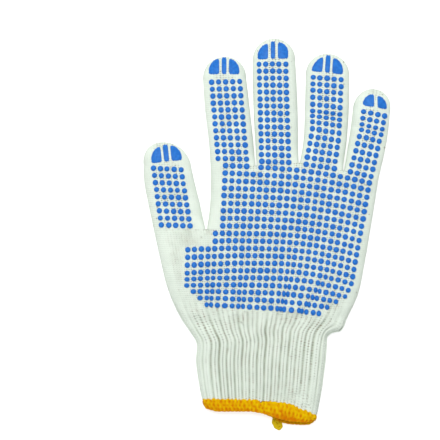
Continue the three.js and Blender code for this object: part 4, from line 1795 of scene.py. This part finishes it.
@dataclass
class DotField:
    """A printed field of PVC dots, in rows and columns that follow the knit."""

    name: str
    cloth: Cloth
    rows: tuple[DotRow, ...]
    row_count: int
    last_column: int
    first_column: int = 0
    squeezes: tuple[Squeeze, ...] = ()
    radius: float = 1.755
    height: float = 1.0
    seed: int = 1
    sides: int = 12
    left_bend: float = 0.3
    width_limits: Pair = (0.7, 1.04)
    height_limits: Pair = (0.75, 1.04)
    place_spread: float = 0.06
    radius_spread: float = 0.035
    height_spread: float = 0.06

    RINGS = ((1.0, -0.3), (1.0, 0.3), (0.84, 0.72), (0.47, 0.95))

    def present(self, column: Array, row: Array, x: Array, y: Array) -> Array:
        """Whether each dot is printed."""
        return np.ones(np.shape(column), bool)

    def centres(self) -> tuple[Array, Array, Array, Array]:
        """The dots' places and how far each is narrowed.

        Each row's numbers are interpolated between the given rows, and the squeezes then move
        its dots. A dot is narrowed where its neighbours have come nearer than usual.

        Returns:
            x, y and the shares that are left of each dot's width and height.
        """
        row, column = np.meshgrid(
            np.arange(self.row_count, dtype=float),
            np.arange(self.first_column, self.last_column + 1, dtype=float),
            indexing="ij",
        )
        numbers = [r.number for r in self.rows]
        x, y, pitch, slope, bend, left_pitch = (
            np.interp(row, numbers, [getattr(r, key) for r in self.rows])
            for key in ("x", "y", "pitch", "slope", "bend", "left_pitch")
        )
        x = x + np.where(column < 0.0, left_pitch, pitch) * column
        y = y + slope * column + bend * column**2 * np.where(column < 0.0, self.left_bend, 1.0)
        for squeeze in self.squeezes:
            if squeeze.across:
                x = x + squeeze.shift(column, row)
            else:
                y = y - squeeze.shift(row, row)
        wide, tall = np.gradient(x, axis=1), -np.gradient(y, axis=0)
        width = np.clip(wide / np.median(wide), *self.width_limits)
        height = np.clip(tall / np.median(tall), *self.height_limits)
        keep = self.present(column, row, x, y)
        return x[keep], y[keep], width[keep], height[keep]

    def dome(self) -> tuple[Array, Array]:
        """One dot of unit radius and height: rings that step up and in, a top and a flat foot.

        Returns:
            The corners and the four-cornered faces.
        """
        turn = whole_turn(self.sides)
        circle = np.stack([np.cos(turn), np.sin(turn), np.zeros_like(turn)], axis=-1)
        stacked = [circle * (r, r, 0.0) + (0.0, 0.0, z) for r, z in self.RINGS]
        points = np.vstack([*stacked, [[0.0, 0.0, 1.0]]])
        index = np.arange(len(self.RINGS) * self.sides).reshape(-1, self.sides)
        walls = grid_faces(index, wrap_columns=True)
        even = np.arange(0, self.sides, 2)
        last = index[-1]
        pole = np.full(len(even), len(points) - 1)
        cap = np.stack([last[even], last[even + 1], last[(even + 2) % self.sides], pole], axis=-1)
        odd = even[:-1] + 1
        foot = np.stack([np.zeros_like(odd), odd + 2, odd + 1, odd], axis=-1)
        return points, np.vstack([walls, cap, foot])

    def surface(self) -> Surface:
        """All the field's dots: each is the dome, scaled, turned upright to the cloth and placed.

        Returns:
            The surface.
        """
        x, y, width, tall = self.centres()
        random = np.random.default_rng(self.seed)
        count = len(x)
        x = x + random.normal(0.0, self.place_spread, count)
        y = y + random.normal(0.0, self.place_spread, count)
        radius = self.radius * (1.0 + random.normal(0.0, self.radius_spread, count))
        height = self.height * (1.0 + random.normal(0.0, self.height_spread, count))
        centre, normal = self.cloth.top_frame(x, y)
        east = one_long(np.stack([normal[:, 2], np.zeros(count), -normal[:, 0]], axis=-1))
        north = np.cross(normal, east)
        unit, faces = self.dome()
        points = (
            centre[:, None]
            + (radius * width)[:, None, None] * unit[None, :, 0:1] * east[:, None]
            + (radius * tall)[:, None, None] * unit[None, :, 1:2] * north[:, None]
            + height[:, None, None] * unit[None, :, 2:3] * normal[:, None]
        )
        offsets = (np.arange(count) * len(unit))[:, None, None]
        return Surface(points.reshape(-1, 3), (faces[None] + offsets).reshape(-1, 4))

    def build(self, finish: Material) -> Piece:
        """Makes the field and gives it its finish."""
        return dress(self.surface().to_object(self.name), finish)


@dataclass
class PalmDots(DotField):
    """The palm's field, cut off across both of its lower corners."""

    corner_row: int = 16
    left_corner: int = -13
    finger_column: int = -9
    thumb_line: float = -6.0
    margin: float = 5.6
    crotch_column: int = -6
    crotch_margin: float = 2.8

    def present(self, column: Array, row: Array, x: Array, y: Array) -> Array:
        """Whether a dot is printed: inside the outline, the corners' cuts and the thumb's line."""
        needed = np.where(column < self.crotch_column, self.margin, self.crotch_margin)
        inside = (self.cloth.inside(x, y) & (self.cloth.distance(x, y) > needed)) | (column > 0)
        cut = np.maximum(row - self.corner_row, 0.0)
        corners = (column <= self.last_column - cut) & (column >= self.left_corner + cut)
        beside_thumb = (column >= self.finger_column) | (y < self.thumb_line)
        return inside & corners & beside_thumb


@dataclass(frozen=True)
class HemShade:
    """How much painted shade turns the hem's yarn orange: a base, and a share for each thing that changes it.

    The left end gets a painted shadow. A patch on the right near the mouth, the under layer, the dipping
    right end, the mouth, the dimples and the threads get painted shade, and the lumps' tops get painted
    light. Ramps run across the hem or from its mouth up to the knit, and so do the right patch's two numbers.
    """

    base: float = 0.36
    left: float = 0.16
    left_until: Ramp = (0.25, 0.4)
    right_shade: float = 0.35
    right_shade_at: Pair = (0.72, 0.25)
    right_shade_reach: Pair = (0.1, 0.3)
    under: float = 0.12
    under_knit: float = 0.75
    under_knit_from: Ramp = (0.1, 0.5)
    dip: float = 0.3
    dip_across: Ramp = (0.55, 0.2)
    dip_down: Ramp = (0.3, -0.35)
    dimple: float = 0.55
    mouth: float = 0.3
    mouth_down: Ramp = (0.45, -0.5)
    mouth_under: float = 0.6
    thread: float = 0.1
    lump: float = 0.25

    def painted_shade(self, u: Array, place: Array, lower: Array, outside: Array, relief: list[Array]) -> Array:
        """How much painted shade turns the yarn orange at each point, from 0 to 1.

        Args:
            u: Places across.
            place: Places from the mouth (0) to the cuff (1).
            lower: Whether a point is on the under layer.
            outside: How far a point faces outwards.
            relief: The dimples, the threads and the lumps.

        Returns:
            The sum of the base and the shares, held between 0 and 1.
        """
        hollow, thread, lumps = relief
        across = (u - self.right_shade_at[0]) / self.right_shade_reach[0]
        up = (place - self.right_shade_at[1]) / self.right_shade_reach[1]
        # Painted shadow over the left end, on the outside.
        total = self.base + self.left * (1.0 - ramp(u, self.left_until)) * outside
        # Painted shade on a patch at the right near the mouth.
        total = total + self.right_shade * np.exp(-(across**2) - up**2)
        # Painted shade on the under layer, more towards the knit.
        total = total + (self.under_knit * ramp(place, self.under_knit_from) + self.under) * lower
        # Painted shade where the right end dips towards the mouth.
        total = total + self.dip * (ramp(u, self.dip_across) * ramp(place, self.dip_down)) * outside
        # Painted shade towards the mouth, less on the under layer, and in the dimples.
        mouth = ramp(place, self.mouth_down) * (1.0 - self.mouth_under * lower)
        total = total + self.dimple * hollow * outside + self.mouth * mouth
        # Painted shade in the threads' grooves, and painted light on the lumps' tops.
        return np.clip(total + self.thread * thread - self.lump * lumps, 0.0, 1.0)


@dataclass
class OverlockHem:
    """The yellow overlocked hem round the cuff's mouth.

    Each edge's shifts are pairs of a place across, from 0 to 1, and how far the edge lies above
    the plan's own line there: at the knit, at the mouth's upper layer and at its under layer.
    """

    plan: BandPlan
    cloth: Cloth
    # Painted shade of the yarn, which turns it orange.
    hem_shade: HemShade = HemShade()
    columns: int = 420
    ring: int = 48
    bulge: float = 0.9
    inner: float = 2.1
    overlap: float = 0.05
    squareness: float = 0.72
    knit_edge: Shifts = (
        (0.0, 0.1), (0.1, 0.8), (0.25, 1.0), (0.44, 0.5), (0.485, 0.4), (0.51, -1.5), (0.545, -0.5),
        (0.64, -0.2), (0.79, 0.6), (0.86, -0.3), (0.93, 0.5), (1.0, -0.2),
    )
    mouth_edge: Shifts = (
        (0.0, 0.2), (0.09, -0.5), (0.25, 0.6), (0.42, 1.7), (0.52, 1.2), (0.6, 0.2), (0.68, -0.9),
        (0.78, -1.7), (0.92, -1.5), (0.98, -0.6), (1.0, 0.0),
    )
    under_edge: Shifts = (
        (0.0, 0.2), (0.09, -0.5), (0.25, 0.6), (0.42, 1.5), (0.52, 0.9), (0.58, -0.2), (0.64, -1.3),
        (0.67, -2.6), (0.71, -3.2), (0.78, -3.7), (0.9, -3.4), (0.965, -2.7), (0.99, -1.4), (1.0, -0.5),
    )
    pitch: float = 2.7
    loop_waves: Triples = ((0.16, 0.9, 0.0), (0.1, 2.3, 1.0))
    loop_edge: Ramp = (0.3, 0.7)
    knit_loops: float = 0.08
    mouth_loops: float = 0.06
    mouth_loops_later: float = 0.4
    place_limits: Pair = (-0.2, 1.3)
    dimple: float = 0.42
    dimple_rows: float = 3.0
    thread: float = 0.12
    thread_turns: Pair = (3.0, 1.3)
    lump: float = 0.2
    lump_waves: Triples = ((1.9, 2.2, 0.0), (0.83, -3.1, 0.7))
    under_lift: float = 0.6
    most_shown: float = 3.0
    flattened: float = 0.12
    least_under: float = 0.12
    least_height: float = 0.03

    @staticmethod
    def shift(edge: Shifts, u: Array) -> Array:
        """An edge's shift at places across, straight between its pairs."""
        places, values = np.array(edge).T
        return np.interp(u, places, values)

    def section(self, angle: Array) -> tuple[Array, Array]:
        """The hem's cross section, a squared ellipse.

        Args:
            angle: Angles round it, from 0 at the knit over the outside to pi at the mouth.

        Returns:
            The place from the mouth (0) to the cuff (1), and the inset.
        """
        c, s = (np.sign(wave) * np.abs(wave) ** self.squareness for wave in (np.cos(angle), np.sin(angle)))
        middle = (self.inner - self.bulge) / 2.0
        half = (self.inner + self.bulge) / 2.0
        return 0.5 + (0.5 + self.overlap) * c, middle - half * s

    def looped(self, place: Array, angle: Array, loops: Array) -> Array:
        """Places up the hem, moved so that the loops stand out in turn along both of its edges."""
        knit, mouth = (np.abs(np.sin(np.pi * (loops + late))) - 0.5 for late in (0.0, self.mouth_loops_later))
        place = place + self.knit_loops * ramp(np.cos(angle), self.loop_edge) * knit
        place = place - self.mouth_loops * ramp(-np.cos(angle), self.loop_edge) * mouth
        return np.clip(place, *self.place_limits)

    def relief(self, place: Array, along: Array, loops: Array) -> list[Array]:
        """The dimples, threads and lumps of the hem's outside.

        Dimples lie in staggered rows, each being the square of a sine across the hem times the
        fourth power of a cosine along it. Threads are slanting sine waves, lumps crossed ones.

        Args:
            place: Places up the hem.
            along: Places along it, in millimetres.
            loops: Places along it, counted in loops.

        Returns:
            The three heights.
        """
        rows = self.dimple_rows * np.clip(place, 0.0, 0.999)
        stagger = 0.5 * (np.floor(rows) % 2)
        hollow = np.sin(np.pi * rows) ** 2 * np.cos(np.pi * (loops + stagger)) ** 4
        turns, slant = self.thread_turns
        thread = np.sin(2.0 * np.pi * (turns * loops + slant * rows))
        return [hollow, thread, crossed_waves(self.lump_waves, along, place)]

    def surface(self) -> Surface:
        """The hem: its section carried round the mouth, with loops, lumps and dimples in relief.

        Returns:
            The closed surface.
        """
        span = Span(float(self.plan.width(np.array([0.5]))[0]), self.columns // 2, True, True)
        share = span.places(2)[0] / span.width
        u = np.concatenate([share, share[::-1][1:-1]])
        lower = np.arange(len(u)) >= len(share)
        angle = whole_turn(self.ring)[:, None]
        place, inset = self.section(angle)
        middle = self.plan.at(u, np.array(0.5))
        lengths = running_length(np.vstack([middle, middle[:1]]))
        along = lengths[:-1]
        loops = np.round(along[-1] / self.pitch) / lengths[-1] * along
        loops = with_waves(loops, self.loop_waves, loops)
        row_place = self.looped(place, angle, loops)
        plan = self.plan.at(u[None, :], row_place, inset)
        away = np.minimum(u, 1.0 - u)[None, :] * (self.plan.width(row_place) - 2.0 * inset)
        x, y = plan[..., 0], plan[..., 1]
        top, under = self.cloth.profile(away, x, y, inset)
        z = np.where(lower, np.maximum(under, self.least_under), top)
        dipped = self.shift(self.under_edge, u)
        mouth = np.where(lower, dipped, self.shift(self.mouth_edge, u))
        y = y + self.shift(self.knit_edge, u) * place + mouth * (1.0 - place)
        shown = np.clip(-dipped, 0.0, self.most_shown) * lower
        z = z + self.under_lift * shown * np.clip(1.0 - place, 0.0, 1.0)
        shell = np.stack([x, y, z], axis=-1)
        round_it = np.roll(shell, -1, axis=1) - np.roll(shell, 1, axis=1)
        normal = one_long(np.cross(round_it, np.roll(shell, 1, axis=0) - np.roll(shell, -1, axis=0)))
        outside = np.clip(np.sin(angle), 0.0, 1.0)
        relief = self.relief(place, along, loops)
        hollow, thread, lumps = relief
        lying = smooth((EDGE_HEIGHT - z) / EDGE_HEIGHT)
        lift = outside * (self.thread * thread - self.dimple * hollow + self.lump * lumps)
        points = shell + normal * (lift - self.flattened * lying)[..., None]
        points[..., 2] = np.maximum(points[..., 2], self.least_height)
        index = np.arange(z.size).reshape(z.shape)
        faces = grid_faces(index, wrap_rows=True, wrap_columns=True)[:, ::-1]
        # Painted shade that turns the yarn orange, kept for the finish.
        painted_shade = self.hem_shade.painted_shade(u, place, lower, outside, relief)
        return Surface(points.reshape(-1, 3), faces, marks={"painted_shade": painted_shade})

    def build(self, finish: Material) -> Piece:
        """Makes the hem and gives it its finish."""
        return dress(self.surface().to_object("overlock_hem_yarn"), finish, ("overlock_hem",))


@dataclass(frozen=True)
class ThreadEnd:
    """The hem's loose thread end: two loops of twisted thread, one inside the other.

    Each loop is given by its scale, its thread's radius and its height.
    """

    at: Pair = (7.0, -118.0)
    size: Pair = (8.9, 6.0)
    turn: float = 0.47
    steps: int = 56
    sides: int = 12
    thickness: float = 0.95
    loops: Triples = ((1.0, 0.95, 1.0), (0.5, 1.08, 1.15))
    twist: float = 7.0
    lobe: float = 0.14
    least_height: float = 0.02
    # The painted shade's share in the grooves, and its least.
    shade_range: Pair = (0.5, 0.2)

    def surface(self) -> Surface:
        """Both loops as tubes round an ellipse.

        The section is a circle with two lobes that turn along it, which is the twist of its plies.

        Returns:
            The closed surface.
        """
        long, wide = self.size
        cos_turn, sin_turn = math.cos(self.turn), math.sin(self.turn)
        t = whole_turn(self.steps)
        around = whole_turn(self.sides)
        share, least = self.shade_range
        tubes, faces, painted_shade = [], [], []
        for scale, radius, lift in self.loops:
            a, b = (long / 2.0 - self.thickness) * scale, (wide / 2.0 - self.thickness) * scale
            line = np.stack([b * np.cos(t), a * np.sin(t), np.full_like(t, lift)], axis=-1)
            out = one_long(np.stack([a * np.cos(t), b * np.sin(t), np.zeros_like(t)], axis=-1))
            lobes = 1.0 + self.lobe * np.cos(2.0 * around[None, :] + self.twist * t[:, None])
            turned = np.cos(around)[:, None] * out[:, None] + np.sin(around)[:, None] * (0.0, 0.0, 1.0)
            tube = line[:, None] + radius * lobes[..., None] * turned
            x = self.at[0] + tube[..., 0] * cos_turn - tube[..., 1] * sin_turn
            y = self.at[1] + tube[..., 0] * sin_turn + tube[..., 1] * cos_turn
            z = np.maximum(tube[..., 2], self.least_height)
            index = len(tubes) * z.size + np.arange(z.size).reshape(z.shape)
            tubes.append(np.stack([x, y, z], axis=-1).reshape(-1, 3))
            faces.append(grid_faces(index, wrap_rows=True, wrap_columns=True))
            # Painted shade in the grooves between the twisted plies.
            deep = np.clip(0.5 - 0.5 * (lobes - 1.0) / self.lobe, 0.0, 1.0)
            painted_shade.append(deep.ravel() * share + least)
        return Surface(np.concatenate(tubes), np.vstack(faces), marks={"painted_shade": np.concatenate(painted_shade)})

    def build(self, finish: Material) -> Piece:
        """Makes the thread end and gives it its finish."""
        return dress(self.surface().to_object("yarn_tail_thread"), finish, ("yarn_tail",))


@dataclass
class Prints:
    """All the PVC on the glove: the fingertips' films and the fields of dots."""

    plan: GlovePlan
    cloth: Cloth

    FILM_SIDES = {"left": -1, "stripe": 0, "right": 1}

    def build_films(self, finish: Material) -> list[Piece]:
        """Makes a film in place of each of the frame's.

        Args:
            finish: The print's material.

        Returns:
            The pieces.
        """
        pieces = []
        for name, digit in self.plan.digits.items():
            for part, side in self.FILM_SIDES.items():
                layout = digit.plan.films
                if side == 0 and layout.stripe == 0.0:
                    continue
                node = f"{name}_film_{part}"
                surface = FilmPrint(layout, self.cloth, side).surface()
                pieces.append(dress(surface.to_object(f"{node}_print", weld=True), finish, (node,)))
        return pieces

    def fields(self) -> list[DotField]:
        """The fields of dots, each from its first row at the fingertip's side to its last."""
        palm_rows = (
            DotRow(0, 9.94, 40.81, 4.52, -0.344, -0.031, left_pitch=4.4),
            DotRow(14, 4.81, -22.44, 4.01, -0.083, -0.05, left_pitch=4.15),
            DotRow(19, 2.25, -45.75, 3.39, -0.25, -0.0125, left_pitch=4.0),
        )
        palm_gathers = (
            Squeeze(((13, 2.6), (16, 2.5), (19, 2.0)), 1.5, 3.0, grows_from=9, grows_over=12),
            Squeeze(((13, 8.3), (16, 7.5), (18, 6.6), (19, 5.75)), 1.2, 2.8, grows_from=9, grows_over=12),
            Squeeze(((0, -4.6),), 1.4, 2.0, grows_from=10, grows_over=12),
            Squeeze(((0, -9.4),), 1.4, 2.2, grows_from=10, grows_over=12),
        )
        row = DotRow.between
        middle = (row(0, (-4.4, 106.1), (12.1, 106.0)), row(14, (-2.8, 45.5), (14.0, 44.8)))
        ring = (
            row(0, (29.2, 97.9), (46.6, 96.4)),
            row(8, (28.8, 65.5), (45.3, 62.8)),
            row(13, (24.9, 43.7), (42.4, 41.1)),
        )
        little = (
            row(0, (60.7, 76.5), (73.7, 73.9), 3),
            row(3, (59.3, 65.1), (71.4, 62.0), 3),
            row(9, (52.3, 39.1), (65.3, 36.3), 3),
        )
        index = (row(0, (-33.9, 94.8), (-16.6, 95.2)), row(11, (-29.9, 47.4), (-12.3, 46.9)))
        thumb = (row(0, (-70.2, 41.2), (-53.0, 40.4)), row(8, (-65.2, 6.0), (-47.4, 5.4)))
        crease = (Squeeze(((0, 5.7),), 1.7, 1.5, across=False),)
        little_crease = (Squeeze(((0, 2.8),), 1.5, 0.9, across=False),)
        palm = PalmDots(
            "palm_dots", self.cloth, palm_rows, row_count=20, first_column=-17, last_column=12,
            squeezes=palm_gathers, radius=1.78,
        )
        digits = (
            ("middle_finger", middle, 15, 4, ()),
            ("ring_finger", ring, 14, 4, crease),
            ("little_finger", little, 10, 3, little_crease),
            ("index_finger", index, 12, 4, ()),
            ("thumb", thumb, 9, 4, ()),
        )
        return [palm] + [
            DotField(f"{name}_dots", self.cloth, rows, row_count, last_column, squeezes=squeezes, seed=seed)
            for seed, (name, rows, row_count, last_column, squeezes) in enumerate(digits, start=2)
        ]

    def build(self, finish: Material) -> list[Piece]:
        """Makes the films and the dots."""
        return self.build_films(finish) + [dots.build(finish) for dots in self.fields()]


@dataclass
class KnitGlove:
    """The knitted body: cuff, hand and digits, whose wales run on from one into the next."""

    plan: GlovePlan
    cloth: Cloth
    thumb_wales: int = 22
    hand_wales: int = 68

    def tubes(self) -> list[KnitTube]:
        """The sections, from the cuff to the digits."""
        wales = self.thumb_wales + self.hand_wales
        last = LOWER_HAND_ROWS[-1]
        crotch_x = CROTCHES[0][0]
        thumb_side = Span(crotch_x - last.lx, self.thumb_wales, True, False)
        palm_side = Span(last.rx - crotch_x, self.hand_wales, False, True)
        knuckles = UPPER_HAND_ROWS[-1]
        ends = [knuckles.lx, *(x for x, _ in CROTCHES[1:]), knuckles.rx]
        fingers = [plan for name, plan in DIGITS.items() if name != "thumb"]
        finger_spans = tuple(
            Span(b - a, plan.wales, plan.round_left, plan.round_right)
            for a, b, plan in zip(ends, ends[1:], fingers)
        )
        plan, cloth = self.plan, self.cloth
        cuff = RibbedCuff("ribbed_cuff", cloth, plan.cuff, wales)
        lower = LowerHand("lower_hand", cloth, plan.lower, wales, end_spans=(thumb_side, palm_side))
        upper = UpperHand(
            "upper_hand", cloth, plan.upper, self.hand_wales, start_spans=(palm_side,), end_spans=finger_spans
        )
        digits = [Digit(name, cloth, digit, digit.plan.wales) for name, digit in plan.digits.items()]
        return [cuff, lower, upper, *digits]

    def build(self, finish: Material) -> list[Piece]:
        """Makes every section."""
        return [tube.build(finish) for tube in self.tubes()]


@dataclass(frozen=True)
class Studio:
    """The pale surface, the soft light and the camera straight above."""

    picture_side: float = 275.0
    picture_centre: Pair = (-28.75, 9.06)
    distance: float = 2.0
    sensor: float = 36.0
    light_at: Triple = (-0.14, 0.46, 1.26)
    light_size: float = 0.8
    light_watts: float = 14.0
    sky: Colour = (0.96, 0.98, 1.0)
    sky_strength: float = 0.66
    floor_half: float = 2.5
    floor_below: float = 0.0001

    def build(self) -> None:
        """Makes the surface, the light, the sky and the camera."""
        centre = placed(np.array([*self.picture_centre, 0.0]))
        mesh = bpy.data.meshes.new("floor")
        signs = ((-1, -1), (1, -1), (1, 1), (-1, 1))
        corners = [(x * self.floor_half, y * self.floor_half, -self.floor_below) for x, y in signs]
        mesh.from_pydata(corners, [], [(0, 1, 2, 3)])
        floor = in_scene("floor", mesh)
        floor.data.materials.append(PaperFinish("pale_paper").build())
        lamp = bpy.data.lights.new("soft_box", "AREA")
        lamp.energy = self.light_watts
        lamp.size = self.light_size
        box = in_scene("soft_box", lamp)
        box.location = self.light_at
        box.rotation_euler = (-Vector(self.light_at)).to_track_quat("-Z", "Y").to_euler()
        world = bpy.data.worlds.new("studio")
        world.use_nodes = True
        background = world.node_tree.nodes["Background"]
        background.inputs["Color"].default_value = (*self.sky, 1.0)
        background.inputs["Strength"].default_value = self.sky_strength
        bpy.context.scene.world = world
        bpy.context.scene.view_settings.view_transform = "Standard"
        data = bpy.data.cameras.new("camera")
        data.sensor_width = self.sensor
        data.lens = self.sensor * self.distance / (self.picture_side * METRE)
        camera = in_scene("camera", data)
        camera.location = (centre[0], centre[1], self.distance)
        bpy.context.scene.camera = camera


def main() -> None:
    logging.basicConfig(level=logging.INFO, format="%(message)s")
    Studio().build()
    plan = GlovePlan()
    cloth = Cloth(plan)
    knit = KnitFinish("white_cotton_knit").build()
    pvc = PvcFinish("blue_pvc_print").build()
    yarn = YarnFinish("yellow_overlock_yarn").build()
    # The thread end's own colour, and its colour in painted shade.
    tail_yarn = YarnFinish("olive_thread_end", light=(0.62, 0.47, 0.008), deep=(0.50, 0.34, 0.007)).build()
    pieces = KnitGlove(plan, cloth).build(knit)
    pieces += [OverlockHem(plan.hem, cloth).build(yarn), ThreadEnd().build(tail_yarn)]
    pieces += Prints(plan, cloth).build(pvc)
    LOG.info("%d pieces", len(pieces))


if __name__ == "__main__":
    main()
